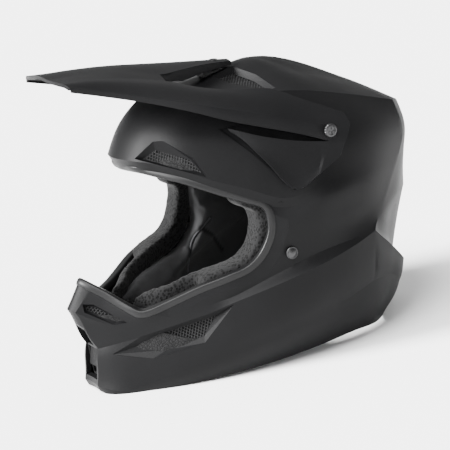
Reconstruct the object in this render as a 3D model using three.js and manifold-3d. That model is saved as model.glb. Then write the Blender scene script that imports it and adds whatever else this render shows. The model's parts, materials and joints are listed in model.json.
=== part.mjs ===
// An off-road helmet with a peak, built as separate pieces.
// Millimetres, +Z up, standing on its lower rim. The face looks along -Y and +X is the wearer's left.
import * as THREE from 'three';
import { mergeVertices } from 'three/addons/utils/BufferGeometryUtils.js';
import Module from 'manifold-3d';

const wasm = await Module();
wasm.setup();
const { Manifold, CrossSection } = wasm;

// ---- Driving dimensions -------------------------------------------------------------------------
const shellWidth = 236;           // widest place of the shell
const shellLength = 347;          // nose to the back of the head
const shellHeight = 257;          // table to the top of the crown
const wall = 3.5;                 // shell wall
const gap = 0.4;                  // between pieces that touch
const foam = 25;                  // impact liner
const chinFoam = 13;              // impact liner in the chin bar
const lining = 8;                 // comfort liner
const cheekPad = 28;              // cheek pad
const trimLip = 5;                // how far the rubber trim covers the shell's edge
const trimThick = 1.5;            // rubber over the shell's faces
const footFlat = 1.2;             // ground off the rim, so that it stands flat
const guardThick = 2.4;           // breath guard
const meshThick = 1.4;            // vent mesh
const meshDepth = 1.6;            // vent mesh under the shell's surface
const visorThick = 3;             // peak
const screwHead = 12;             // peak side screws
const screwShank = 6;
const screwFit = 0.35;            // round the shanks
const centreScrew = 4;            // shank of the peak's middle screw
const centreHead = 9;
const visorTiltUp = 4;            // degrees of peak tilt that the middle slot allows
const visorTiltDown = 2;
const rivetHead = 11;             // strap rivets
const rivetShank = 5;
const strapWidth = 24;
const strapThick = 2;
const sleeveWidth = strapWidth + 6, sleeveThick = strapThick + 5;
const ringWire = 3;               // D ring wire
const ringDepth = 18;             // D ring, bar to bow

// The outlines below were drawn at these sizes and stretch with the driving ones.
const drawn = { width: 236, length: 347, height: 257 };
const stretch = new THREE.Vector3(shellWidth / drawn.width, shellLength / drawn.length,
  shellHeight / drawn.height);
const at = (x, y, z) => new THREE.Vector3(x, y, z).multiply(stretch);
const sideAt = ([y, z]) => [y * stretch.y, z * stretch.z];

// ---- The shell's surface ------------------------------------------------------------------------
// Each line runs from the middle of the front round the left side to the middle of the back.
const shellLines = {
  rimInner: [[0, -168, 8], [10, -168, 8], [18, -164, 6], [36, -140, 6], [54, -110, 7], [66, -80, 9],
    [74, -42, 11], [77, 0, 13], [73, 30, 14], [64, 52, 13], [48, 70, 12], [30, 82, 10], [0, 90, 9]],
  rimOuter: [[0, -185, 3], [13, -186, 3], [25, -181, 0], [47, -151, 0], [66, -118, 2], [79, -84, 4],
    [87, -44, 6], [90, 2, 9], [86, 34, 10], [76, 58, 7], [58, 77, 3], [36, 93, 0], [0, 102, 0]],
  lowerCrease: [[0, -187, 9], [14, -188, 9], [29, -179, 5], [52, -150, 9], [73, -118, 19], [87, -88, 27],
    [102, -46, 36], [108, 2, 45], [105, 28, 49], [96, 56, 53], [78, 84, 48], [50, 108, 30], [0, 125, 26]],
  bandTop: [[0, -183, 41], [14, -181, 41], [25, -171, 44], [44, -150, 49.5], [70, -118, 58.5],
    [91, -85, 69.5], [107, -44, 79], [116, 5, 89.5], [116, 32, 96], [111, 56, 101.5], [85, 87, 74],
    [50, 116, 49], [0, 132, 45]],
  bandFoot: [[0, -197, 79], [9, -194, 77], [21, -181, 68], [46, -150, 60], [70, -119, 69], [87, -86, 73.5],
    [101, -44, 86], [111, 4, 98], [114, 32, 101], [111, 56, 102], [82, 84, 78], [46, 106, 55], [0, 122, 51]],
  chinTop: [[0, -181, 102], [12, -176, 97], [22, -168, 90], [49, -151, 71], [70, -121, 80], [92, -82, 93],
    [102, -44, 104], [113, 4, 113], [112, 36, 113], [105, 64, 111], [78, 93, 100], [46, 118, 90], [0, 132, 85]],
  eyeLevel: [[0, -160, 140], [16, -155, 138], [28, -146, 134], [55, -128, 128], [78, -100, 126],
    [94, -72, 124], [104, -40, 126], [116, 6, 130], [113, 42, 128], [97, 78, 123], [75, 106, 120],
    [48, 128, 118], [0, 141, 115]],
  browLow: [[0, -124, 189], [28, -118, 187.5], [44, -108, 185], [62, -95, 179.5], [79, -77, 168],
    [91, -59, 157], [103, -27, 143], [118, 8, 146], [112, 50, 146], [90, 93, 140], [72, 114, 139],
    [47, 131, 138], [0, 144, 137]],
  browEdge: [[0, -129, 199], [28, -123, 198], [45, -112, 195], [64, -98, 189], [82, -78, 177],
    [96, -54, 165.5], [107.5, -22, 150.5], [114.5, 10, 158], [109, 54, 157], [83, 105, 152], [68, 121, 153],
    [46, 134, 153], [0, 146, 153]],
  temple: [[0, -114, 222], [24, -109, 222], [40, -100, 221], [56, -88, 218], [74, -67, 211], [89, -42, 204],
    [97.5, -14, 200], [104.5, 18, 198], [100, 58, 190], [70, 122, 173], [60, 131, 174], [42, 139, 175],
    [0, 150, 176]],
  crownEdge: [[0, -86, 242], [18, -83, 242], [32, -77, 241], [44, -68, 240], [56, -54, 240], [65, -33, 239],
    [70, -8, 237], [72, 25, 231], [70, 65, 219], [60, 122, 199], [48, 133, 196], [32, 141, 193],
    [0, 148, 191]],
  crownMid: [[0, -42, 248], [10, -41, 248], [17, -38, 247.5], [23, -33, 247], [29, -25, 246.5],
    [34, -14, 246.5], [37, 0, 247], [38, 20, 247], [38, 48, 238], [32, 88, 223], [25, 97, 221],
    [15, 102, 220], [0, 105, 219]],
};
const crownTop = [0, 14, 257];

// How sharp each line is where the columns cross it: 1 is a corner, 0 is smooth.
const lineSharp = {
  rimOuter: [1, 1, 1, 1, 1, 1, 1, 1, 1, 1, 1, 1, 1],
  lowerCrease: [1, 1, 1, 0.8, 0.8, 1, 1, 1, 1, 0.8, 0.6, 1, 1],
  bandTop: [1, 1, 1, 1, 1, 1, 1, 1, 1, 1, 1, 1, 1],
  bandFoot: [1, 1, 1, 0, 0, 1, 1, 1, 1, 0.6, 0.6, 1, 1],
  eyeLevel: [0, 0, 0, 0, 0, 0, 0, 0, 0, 0, 0.7, 1, 1],
  browLow: [1, 1, 1, 1, 1, 1, 0.7, 0, 0, 0, 0, 0, 0],
  browEdge: [1, 1, 1, 1, 1, 1, 1, 0, 0, 0, 0, 0, 0],
  crownEdge: [0, 0, 0, 0, 0.5, 0.9, 1, 1, 1, 1, 1, 1, 1],
};
// The same for the two upright creases, at the mouth's edge and the back's corner.
const mouthCrease = { column: 1,
  lines: ['rimInner', 'rimOuter', 'lowerCrease', 'bandTop', 'bandFoot', 'chinTop'] };
const backCrease = { column: 9,
  lines: ['bandTop', 'bandFoot', 'eyeLevel', 'browLow', 'browEdge', 'temple', 'crownEdge'] };
const uprightSharp = (name, column) =>
  [mouthCrease, backCrease].some(c => c.column === column && c.lines.includes(name)) ? 1 : 0;

// ---- Smooth curves and lofts --------------------------------------------------------------------
// Slopes into and out of each point: shared at a smooth point, one-sided at a sharp one.
function slopes(points, sharp) {
  const last = points.length - 1;
  const run = points.slice(1).map((p, i) => Math.max(p.distanceTo(points[i]), 1e-6));
  const chord = points.slice(1).map((p, i) => p.clone().sub(points[i]).divideScalar(run[i]));
  const smooth = points.map((p, i) => {
    if (i === 0) return chord[0].clone();
    if (i === last) return chord[last - 1].clone();
    return chord[i - 1].clone().multiplyScalar(run[i]).addScaledVector(chord[i], run[i - 1])
      .divideScalar(run[i - 1] + run[i]);
  });
  const oneSided = (i, neighbour) => chord[i].clone().multiplyScalar(1.5).addScaledVector(smooth[neighbour], -0.5);
  const into = smooth.map((s, i) => i === 0 ? s : s.clone().lerp(oneSided(i - 1, i - 1), sharp[i]));
  const out = smooth.map((s, i) => i === last ? s : s.clone().lerp(oneSided(i, i + 1), sharp[i]));
  return { run, into, out };
}
function between(points, slope, i, t) {
  const h = slope.run[i], t2 = t * t, t3 = t2 * t;
  return new THREE.Vector3()
    .addScaledVector(points[i], 2 * t3 - 3 * t2 + 1).addScaledVector(slope.out[i], h * (t3 - 2 * t2 + t))
    .addScaledVector(points[i + 1], 3 * t2 - 2 * t3).addScaledVector(slope.into[i + 1], h * (t3 - t2));
}
// Samples of the curve from point `first` to point `last`, with `steps(i)` steps in span i.
function sampleCurve(points, sharp, steps, first, last) {
  const slope = slopes(points, sharp), samples = [];
  for (let i = first; i < last; i++) {
    for (let k = 0; k < steps(i - first); k++) {
      const t = k / steps(i - first);
      samples.push({ point: between(points, slope, i, t), span: i - first, t });
    }
  }
  samples.push({ point: points[last].clone(), span: last - first, t: 0 });
  return samples;
}
// A grid of points over crossing lines. grid[line][column] are points; `around` closes each line.
function loft(lines, acrossSharp, alongSharp, alongSteps, acrossSteps, { around = false, beyond = null } = {}) {
  const pad = around ? 2 : 0;
  const wrap = list => around ? [...list.slice(-pad), ...list, ...list.slice(0, pad + 1)] : list;
  const count = around ? lines[0].length : lines[0].length - 1;
  const along = lines.map((line, r) =>
    sampleCurve(wrap(line), wrap(alongSharp[r]), alongSteps, pad, pad + count));
  const sharpAt = (r, s) => {
    const row = acrossSharp[r], n = row.length;
    return row[s.span % n] * (1 - s.t) + row[(s.span + 1) % n] * s.t;
  };
  const columns = along[0].map((sample, c) => {
    const points = along.map(row => row[c].point);
    const sharp = along.map((row, r) => sharpAt(r, row[c]));
    const extra = beyond ? beyond(points) : [];
    const all = [...points, ...extra];
    return sampleCurve(all, [...sharp, ...extra.map(() => 0)], acrossSteps, 0, lines.length - 1 + (beyond ? 1 : 0))
      .map(s => s.point);
  });
  if (around) columns.pop();
  return columns;             // columns[column][row]
}

// ---- Solids -------------------------------------------------------------------------------------
function solidFrom(positions, triangles) {
  const geometry = new THREE.BufferGeometry();
  geometry.setAttribute('position', new THREE.Float32BufferAttribute(positions.flatMap(p => p.toArray()), 3));
  geometry.setIndex(triangles);
  return solidOf(geometry);
}
function solidOf(geometry) {
  geometry.deleteAttribute('normal');
  geometry.deleteAttribute('uv');
  const merged = mergeVertices(geometry, 1e-4);
  const index = Array.from(merged.index.array), keep = [];
  for (let i = 0; i < index.length; i += 3) {
    const [a, b, c] = index.slice(i, i + 3);
    if (a !== b && b !== c && c !== a) keep.push(a, b, c);
  }
  return new Manifold(new wasm.Mesh({
    numProp: 3, triVerts: new Uint32Array(keep),
    vertProperties: new Float32Array(merged.attributes.position.array),
  }));
}
const solidAt = (geometry, matrix) => solidOf(geometry.applyMatrix4(matrix));
const turnTo = dir => new THREE.Matrix4().makeRotationFromQuaternion(
  new THREE.Quaternion().setFromUnitVectors(new THREE.Vector3(0, 1, 0), dir.clone().normalize()));
// A round bar from point a to point b.
function bar(a, b, diameter, sides = 20) {
  const length = a.distanceTo(b), middle = a.clone().lerp(b, 0.5);
  const geometry = new THREE.CylinderGeometry(diameter / 2, diameter / 2, length, sides);
  return solidAt(geometry, turnTo(b.clone().sub(a)).setPosition(middle));
}
// A round bar along X through a place seen from the side.
const crossBar = ({ y, z }, x0, x1, diameter) =>
  bar(new THREE.Vector3(x0, y, z), new THREE.Vector3(x1, y, z), diameter);
// A turned piece: profile of [radius, height] standing at `base` along `dir`.
function turned(profile, base, dir, sides = 16) {
  const geometry = new THREE.LatheGeometry(profile.map(([r, h]) => new THREE.Vector2(r, h)), sides);
  return solidAt(geometry, turnTo(dir).setPosition(base));
}
const mirrored = solid => solid.mirror([1, 0, 0]);
// An outline seen from the side, [y, z] points, run along X from x0 to x1.
const sideToSpace = [0, 1, 0, 0, 0, 0, 1, 0, 1, 0, 0, 0, 0, 0, 0, 1];
function sidePrism(outline, x0, x1, grow = 0) {
  let section = outline instanceof CrossSection ? outline : new CrossSection([outline.map(sideAt)], 'Positive');
  if (grow) section = section.offset(grow, 'Round', 2, 12);
  return Manifold.extrude(section, x1 - x0).translate([0, 0, x0]).transform(sideToSpace);
}
const wide = 400;             // further than anything reaches
const throughSide = (outline, grow = 0) => sidePrism(outline, -wide, wide, grow);
// A convex punch through the listed points, running `depth` both ways along `dir`.
function punch(points, dir, depth) {
  const step = dir.clone().normalize().multiplyScalar(depth);
  return Manifold.hull(points.flatMap(p => [p.clone().add(step).toArray(), p.clone().sub(step).toArray()]));
}
function box(x0, x1, y0, y1, z0, z1) {
  return Manifold.cube([x1 - x0, y1 - y0, z1 - z0]).translate([x0, y0, z0]);
}
const union = solids => Manifold.union(solids);
const largest = solid => solid.decompose().sort((a, b) => b.volume() - a.volume())[0];

// ---- Layers of the shell ------------------------------------------------------------------------
const names = Object.keys(shellLines);
const ring = (list, other = p => p) => [...list, ...list.slice(1, -1).reverse().map(other)];
const flip = p => new THREE.Vector3(-p.x, p.y, p.z);
const shellRows = names.map(name => ring(shellLines[name].map(p => at(...p)), flip));
const sharpRows = names.map(name => ring(lineSharp[name] ?? shellLines[name].map(() => 0)));
const sharpColumns = names.map(name => ring(shellLines[name].map((p, column) => uprightSharp(name, column))));
const top = at(...crownTop);
const overTheTop = points => {
  const p = points[points.length - 1];
  return [top, new THREE.Vector3(2 * top.x - p.x, 2 * top.y - p.y, p.z)];
};
function shellGrid(alongSteps, acrossSteps) {
  return loft(shellRows, sharpRows, sharpColumns, () => alongSteps, () => acrossSteps,
    { around: true, beyond: overTheTop });
}
const fine = shellGrid(2, 2), coarse = shellGrid(2, 1);

// Layers are measured from the surface towards a core inside the head.
const coreLow = 60 * stretch.z, coreHigh = 150 * stretch.z, coreFront = 40 * stretch.y;
function inward(p, depth) {
  const core = new THREE.Vector3(0, THREE.MathUtils.clamp(p.y / 2, -coreFront, coreFront),
    THREE.MathUtils.clamp(p.z, coreLow, coreHigh));
  return p.clone().addScaledVector(core.sub(p).normalize(), depth);
}
// The closed layer between two depths under the surface; its lower edge follows the rim.
function layer(outerDepth, innerDepth, grid = fine) {
  const rows = grid[0].length, positions = [], triangles = [];
  const index = (side, c, r) => (side * grid.length + (c % grid.length)) * rows + r;
  for (const depth of [outerDepth, innerDepth]) {
    for (const column of grid) positions.push(...column.map(p => inward(p, depth)));
  }
  const quad = (a, b, c, d) => triangles.push(a, b, c, a, c, d);
  for (let c = 0; c < grid.length; c++) {
    for (let r = 0; r < rows - 1; r++) {
      quad(index(0, c, r), index(0, c + 1, r), index(0, c + 1, r + 1), index(0, c, r + 1));
      quad(index(1, c, r), index(1, c, r + 1), index(1, c + 1, r + 1), index(1, c + 1, r));
    }
    quad(index(0, c + 1, 0), index(0, c, 0), index(1, c, 0), index(1, c + 1, 0));
  }
  return solidFrom(positions, triangles);
}
// Where a straight line into the shell first meets its surface.
const surfaceMesh = (() => {
  const rows = fine[0].length, geometry = new THREE.BufferGeometry(), triangles = [];
  const positions = fine.flat().flatMap(p => p.toArray());
  geometry.setAttribute('position', new THREE.Float32BufferAttribute(positions, 3));
  for (let c = 0; c < fine.length; c++) {
    const d = (c + 1) % fine.length;
    for (let r = 0; r < rows - 1; r++) {
      const near = c * rows + r, next = d * rows + r;
      triangles.push(near, next, next + 1, near, next + 1, near + 1);
    }
  }
  geometry.setIndex(triangles);
  return new THREE.Mesh(geometry, new THREE.MeshBasicMaterial({ side: THREE.DoubleSide }));
})();
function surfaceHit(from, dir) {
  const hits = new THREE.Raycaster(from, dir.clone().normalize()).intersectObject(surfaceMesh);
  if (!hits.length) throw new Error('no shell surface on the line');
  return hits[0].point;
}
const sideSurface = (y, z) => surfaceHit(new THREE.Vector3(wide, y, z), new THREE.Vector3(-1, 0, 0)).x;

// ---- Outlines seen from the side ----------------------------------------------------------------
const ahead = -260;           // in front of everything
const eyeport = [[ahead, 104], [-181, 102], [-176, 97], [-169, 91], [-161, 82], [-151, 71.5], [-140, 74],
  [-124, 80], [-106, 87], [-81, 93], [-64, 97], [-53, 104.5], [-45, 116], [-40, 131], [-39, 140],
  [-41, 147.5], [-60, 157], [-80, 168], [-100, 179.5], [-112, 185], [-118, 187.5], [-124, 189], [ahead, 189]];
const cheekArea = [[-143, 62], [-120, 50], [-90, 42], [-40, 36], [10, 40], [34, 58], [40, 90], [30, 128],
  [0, 146], [-30, 150], [-48, 148], [-42, 131], [-48, 116], [-56, 106], [-66, 100], [-84, 96], [-108, 90],
  [-126, 83], [-141, 77]];
const neckArea = [[10, -10], [180, -10], [180, 56], [60, 60], [44, 40], [30, 30], [10, 28]];
const headArea = [[ahead, 150], [-50, 152], [-20, 154], [8, 150], [38, 132], [46, 92], [44, 62], [180, 62],
  [180, 300], [ahead, 300]];
const capArea = [[ahead, 168], [-60, 166], [-20, 160], [8, 156], [38, 140], [54, 110], [180, 100],
  [180, 300], [ahead, 300]];
const chinArea = [[ahead, -10], [-30, -10], [-40, 30], [-90, 36], [-120, 44], [-146, 56], [-156, 70],
  [ahead, 78]];

// ---- Vents, as points on the left half of the shell ---------------------------------------------
const vents = {
  chin_vent_mesh: { dir: [1, -0.55, 0], points: [[40, -158, 36], [56, -140, 49], [84, -96, 61], [80, -104, 42],
    [60, -134, 31]] },
  chin_slit_mesh: { dir: [0.6, -1, 0.4], points: [[14, -189, 80], [36, -162, 70], [40, -158, 66], [16, -188, 75]] },
  brow_vent_mesh: { dir: [0.75, -1, 0.1], points: [[40, -118, 200], [50, -112, 212], [78, -74, 202],
    [80, -72, 186]] },
  crown_vent_mesh: { dir: [0.25, -0.2, 1], points: [[14, -34, 262], [22, -36, 262], [44, 12, 250],
    [37, 14, 250]] },
  rear_vent_mesh: { dir: [0.45, 1, 0], points: [[26, 150, 112], [56, 140, 116], [52, 140, 100], [24, 150, 96]] },
};
const ventPunch = ({ points, dir }, shrink = 0) => {
  const middle = points.reduce((sum, p) => sum.add(at(...p)), new THREE.Vector3()).divideScalar(points.length);
  const moved = points.map(p => {
    const q = at(...p);
    return q.addScaledVector(middle.clone().sub(q).normalize(), shrink);
  });
  return punch(moved, new THREE.Vector3(...dir), 22);
};
const mouthHole = () => punch([[-12, -180, 13], [12, -180, 13], [12, -180, 40], [-12, -180, 40]]
  .map(p => at(...p)), new THREE.Vector3(0, 1, 0), 26);

// ---- Fastener places ----------------------------------------------------------------------------
const pivot = { y: 24 * stretch.y, z: 200 * stretch.z };          // the peak tilts about this line
const rivet = { y: -27 * stretch.y, z: 103 * stretch.z };
pivot.x = sideSurface(pivot.y, pivot.z);
rivet.x = sideSurface(rivet.y, rivet.z);
const insertOuter = screwShank + 4, rivetHole = rivetShank + 2 * screwFit;
const insertStart = pivot.x - wall - 3;          // the insert's inner end

const up = height => new THREE.Vector3(0, 0, height);
const middleY = (shellLines.rimInner[0][1] + shellLines.rimInner.at(-1)[1]) * stretch.y;
const outward = solid => solid.volume() < 0 ? flipped(solid) : solid;
function flipped(solid) {
  const mesh = solid.getMesh();
  for (let i = 0; i < mesh.triVerts.length; i += 3) {
    [mesh.triVerts[i], mesh.triVerts[i + 1]] = [mesh.triVerts[i + 1], mesh.triVerts[i]];
  }
  return new Manifold(mesh);
}
const crownSurface = y => surfaceHit(new THREE.Vector3(0, y, wide), new THREE.Vector3(0, 0, -1)).z;
const centreSpot = new THREE.Vector3(0, -20 * stretch.y, 0);
centreSpot.z = crownSurface(centreSpot.y);

// ---- Hard pieces of the shell -------------------------------------------------------------------
function outerShell() {
  const holes = [throughSide(eyeport), mouthHole()];
  for (const vent of Object.values(vents)) {
    const hole = ventPunch(vent);
    holes.push(hole, mirrored(hole));
  }
  holes.push(crossBar(pivot, -wide, wide, insertOuter + 2 * gap));
  holes.push(crossBar(rivet, -wide, wide, rivetHole));
  holes.push(slotPunch(nutWide + 1.5, coreHigh, wide));
  const below = box(-wide, wide, -wide, wide, -wide, footFlat);
  return layer(0, wall).subtract(union([...holes, below])).simplify(0.02);
}
function ventMesh(vent) {
  return layer(meshDepth, meshDepth + meshThick).intersect(ventPunch(vent, gap));
}
function eyeportTrim() {
  const band = throughSide(eyeport, trimLip).subtract(throughSide(eyeport, -2));
  const edge = layer(-gap, wall + gap).subtract(throughSide(eyeport, -gap));
  return layer(-trimThick, wall + trimThick).intersect(band).subtract(edge).simplify(0.12);
}
// The bead of rubber inside the rim of the head opening.
function rimTrim() {
  const bead = [[0, -2], [trimThick + 2.5, -2], [trimThick + 2.5, wall + 1], [0, wall + 1]];
  const edge = fine.map(column => inward(column[0], wall)), positions = [], triangles = [];
  edge.forEach(p => {
    const inner = new THREE.Vector3(-p.x, middleY - p.y, 0).normalize();
    for (const [reach, rise] of bead) {
      positions.push(p.clone().addScaledVector(inner, reach + gap).add(up(rise)));
    }
  });
  for (let c = 0; c < edge.length; c++) {
    for (let k = 0; k < 4; k++) {
      const a = c * 4 + k, b = c * 4 + (k + 1) % 4, d = ((c + 1) % edge.length) * 4;
      triangles.push(a, b, d + (k + 1) % 4, a, d + (k + 1) % 4, d + k);
    }
  }
  return outward(solidFrom(positions, triangles));
}
function breathGuard() {
  const lip = [[ahead, 52], [-110, 48], [-122, 60], [-136, 76], [-150, 96], [-162, 99], [ahead, 99]];
  const depth = wall + 2 * gap + chinFoam;
  return layer(depth + gap, depth + gap + guardThick, coarse).intersect(throughSide(lip))
    .subtract(throughSide(eyeport, 2));
}
function mouthFrame() {
  const outer = mouthPlate(gap), inner = mouthPlate(3);
  return layer(meshDepth, wall - 0.2).intersect(outer.subtract(inner));
}
const mouthPlate = shrink => punch([[-12 + shrink, 13 + shrink], [12 - shrink, 13 + shrink],
  [12 - shrink, 40 - shrink], [-12 + shrink, 40 - shrink]].map(([x, z]) => at(x, -180, z)),
  new THREE.Vector3(0, 1, 0), 25);
const mouthMesh = () => layer(meshDepth, meshDepth + meshThick).intersect(mouthPlate(3 + gap));

// ---- Liners and pads ----------------------------------------------------------------------------
const linerDepth = wall + gap + trimThick + gap;
const clearOfTrim = () => throughSide(eyeport, 1);
const shellSpace = () => layer(-wall, wall + gap);
function epsLiner() {
  const region = throughSide(headArea).subtract(union([clearOfTrim(), throughSide(cheekArea, 2),
    throughSide(neckArea, 1), strapChannels()]));
  const pocket = crossBar(pivot, insertStart - 2, wide, insertOuter + 2 * gap);
  const nutWell = slotPunch(nutWide + 2, centreSpot.z - 12, wide);
  return layer(linerDepth, linerDepth + foam, coarse).intersect(region)
    .subtract(union([pocket, mirrored(pocket), nutWell, shellSpace()]));
}
function comfortLiner() {
  const depth = linerDepth + foam + gap;
  return layer(depth, depth + lining, coarse).intersect(throughSide(capArea))
    .subtract(throughSide(eyeport, 4));
}
function chinFoamBlock() {
  return largest(chinFoamCut());
}
function chinFoamCut() {
  const region = throughSide(chinArea)
    .subtract(union([clearOfTrim(), throughSide(cheekArea, 2), strapChannels()]));
  return layer(wall + 2 * gap, wall + 2 * gap + chinFoam, coarse).intersect(region).subtract(shellSpace())
    .subtract(layer(-trimThick - gap, wall + trimThick + gap).intersect(throughSide(eyeport, trimLip + gap)))
    .subtract(rimSpace());
}
function cheekPads() {
  const pad = layer(linerDepth, linerDepth + cheekPad, coarse)
    .intersect(sidePrism(cheekArea, 20, wide)).subtract(union([throughSide(eyeport, -3), strapChannels()]));
  return pad.subtract(union([breathSpace(), sleeveSpace(longRoute), mirrored(sleeveSpace(shortRoute))]));
}
const breathSpace = () => layer(0, wall + 4 * gap + chinFoam + guardThick + 2)
  .intersect(box(-wide, wide, -wide, -98 * stretch.y, -20, 120));
function neckRoll() {
  const depth = wall + 3 * gap;
  return layer(depth, depth + foam - 4, coarse).intersect(throughSide(neckArea))
    .subtract(union([strapChannels(), rimSpace(), shellSpace()]));
}
const rimSpace = () => box(-wide, wide, -wide, wide, -20, 22 * stretch.z);
const channelDeep = wall + 19;
function strapChannels() {
  const front = rivet.y - strapWidth / 2 - 3, back = rivet.y + strapWidth / 2 + 3;
  return layer(-1, channelDeep).intersect(box(-wide, wide, front, back, -20, rivet.z + 16));
}

// ---- Chin strap ---------------------------------------------------------------------------------
// Webbing: a flat section carried along its route; the width lies along Y.
function webbing(route, width, thick) {
  const curve = new THREE.CatmullRomCurve3(route.map(p => new THREE.Vector3(...p)), false, 'centripetal');
  const steps = Math.max(36, Math.ceil(curve.getLength() / 7.4)), positions = [], triangles = [];
  for (let i = 0; i <= steps; i++) {
    const p = curve.getPointAt(i / steps), tangent = curve.getTangentAt(i / steps);
    const across = new THREE.Vector3(0, 1, 0), normal = tangent.clone().cross(across).normalize();
    for (const [a, b] of [[-1, -1], [1, -1], [1, 1], [-1, 1]]) {
      positions.push(p.clone().addScaledVector(across, a * width / 2).addScaledVector(normal, b * thick / 2));
    }
    if (i === steps) break;
    for (let k = 0; k < 4; k++) {
      const q = i * 4 + k, r = i * 4 + (k + 1) % 4;
      triangles.push(q, r, r + 4, q, r + 4, q + 4);
    }
  }
  triangles.push(0, 2, 1, 0, 3, 2);
  const e = steps * 4;
  triangles.push(e, e + 1, e + 2, e, e + 2, e + 3);
  return outward(solidFrom(positions, triangles));
}
const strapY = rivet.y;
const anchorDrop = 12, anchorRise = 9;           // the anchor plate round its rivet
const cornerX = [-1, 1].flatMap(side => [-anchorDrop, anchorRise].map(rise =>
  sideSurface(rivet.y + side * strapWidth / 2, rivet.z + rise)));
const anchorX = Math.min(...cornerX) - wall * 1.3 - 2;
const beside = z => [Math.min(sideSurface(strapY, z) - wall - 7, anchorX - 1.2), strapY, z];
const dropFoot = beside(30)[0];                  // where a strap leaves the shell's side
const strapDrop = [beside(rivet.z - anchorDrop - 1), beside(66), beside(46), beside(30),
  [dropFoot - 27.3, strapY, 20], [36, strapY, 16]];
const strapLow = 14.5, strapHigh = 29, barX = -50;
const longRoute = [...strapDrop, [0, strapY, strapLow], [-28, strapY, strapLow], [-37, strapY, strapLow + 1],
  [-42.5, strapY, 22], [-37, strapY, strapHigh - 1], [-28, strapY, strapHigh], [0, strapY, strapHigh],
  [18, strapY, strapHigh]];
const shortRoute = [...strapDrop.slice(0, 4).map(([x, y, z]) => [-x, y, z]),
  [15.3 - dropFoot, strapY, 23.6], [barX - 11.5, strapY, 21.8]];
const anchorPlate = () => box(anchorX - 1, anchorX + 1, strapY - strapWidth / 2, strapY + strapWidth / 2,
  rivet.z - anchorDrop, rivet.z + anchorRise).subtract(crossBar(rivet, 0, wide, rivetHole));
function rivetSolid() {
  const r = rivetHead / 2, s = rivetShank / 2;
  const edge = [0, 1, 2, 3, 4, 5, 6, 7].map(k => k * Math.PI / 4);
  const highest = Math.max(...edge.map(a => sideSurface(rivet.y + r * Math.cos(a), rivet.z + r * Math.sin(a))));
  const inner = anchorX - 2.4, face = highest + 0.2, length = face - inner;
  return turned([[0, 0], [s + 1.4, 0], [s + 1.4, 1], [s, 1], [s, length], [r, length], [r, length + 1],
    [r * 0.8, length + 2.2], [r * 0.45, length + 2.8], [0, length + 3]],
    new THREE.Vector3(inner, rivet.y, rivet.z), new THREE.Vector3(1, 0, 0));
}
const ringZ = [19.4, 24.2];
function dRing(z) {
  const half = strapWidth / 2 + 2, bow = 10, route = [];
  route.push([barX, -half, z], [barX, half, z], [barX + ringDepth - bow, half, z]);
  route.push([barX + ringDepth - 2, half - 4, z], [barX + ringDepth, 0, z], [barX + ringDepth - 2, 4 - half, z]);
  route.push([barX + ringDepth - bow, -half, z]);
  const curve = new THREE.CatmullRomCurve3(route.map(([x, y, zz]) => new THREE.Vector3(x, y + strapY, zz)), true,
    'catmullrom', 0.25);
  return closedWire(curve, ringWire, 30, 6);
}
function closedWire(curve, diameter, steps, sides) {
  const positions = [], triangles = [], lift = new THREE.Vector3(0, 0, 1);
  for (let i = 0; i < steps; i++) {
    const p = curve.getPointAt(i / steps), side = curve.getTangentAt(i / steps).cross(lift).normalize();
    for (let k = 0; k < sides; k++) {
      const angle = 2 * Math.PI * k / sides;
      positions.push(p.clone().addScaledVector(side, Math.cos(angle) * diameter / 2)
        .addScaledVector(lift, Math.sin(angle) * diameter / 2));
      const a = i * sides + k, b = i * sides + (k + 1) % sides;
      const c = ((i + 1) % steps) * sides + k, d = ((i + 1) % steps) * sides + (k + 1) % sides;
      triangles.push(a, b, d, a, d, c);
    }
  }
  return outward(solidFrom(positions, triangles));
}
// The sewn loop of the short strap round both bars.
function ringLoop() {
  const reach = ringWire / 2 + 0.5, low = ringZ[0] - reach, high = ringZ[1] + reach, width = strapWidth - 1;
  const outer = box(barX - 10, barX + reach + strapThick, strapY - width / 2, strapY + width / 2,
    low - strapThick, high + strapThick);
  const inner = box(barX - 6, barX + reach, strapY - strapWidth, strapY + strapWidth, low, high);
  return outer.subtract(inner);
}
function strapSnap() {
  return turned([[0, 0], [6, 0], [6, 1.2], [4.6, 2.4], [0, 2.6]], new THREE.Vector3(8, strapY, strapHigh +
    strapThick / 2 + gap), new THREE.Vector3(0, 0, 1));
}
const sleeveSpace = route => webbing(route, sleeveWidth + 2 * gap, sleeveThick + 2 * gap);
// The padded sleeve over the hanging part of a strap.
function strapSleeve(route) {
  const sleeve = webbing(route, sleeveWidth, sleeveThick).intersect(box(-wide, wide, -wide, wide, 31, 68));
  return largest(sleeve.subtract(webbing(route, strapWidth - 1 + 2 * gap, strapThick + 2 * gap)));
}

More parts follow.
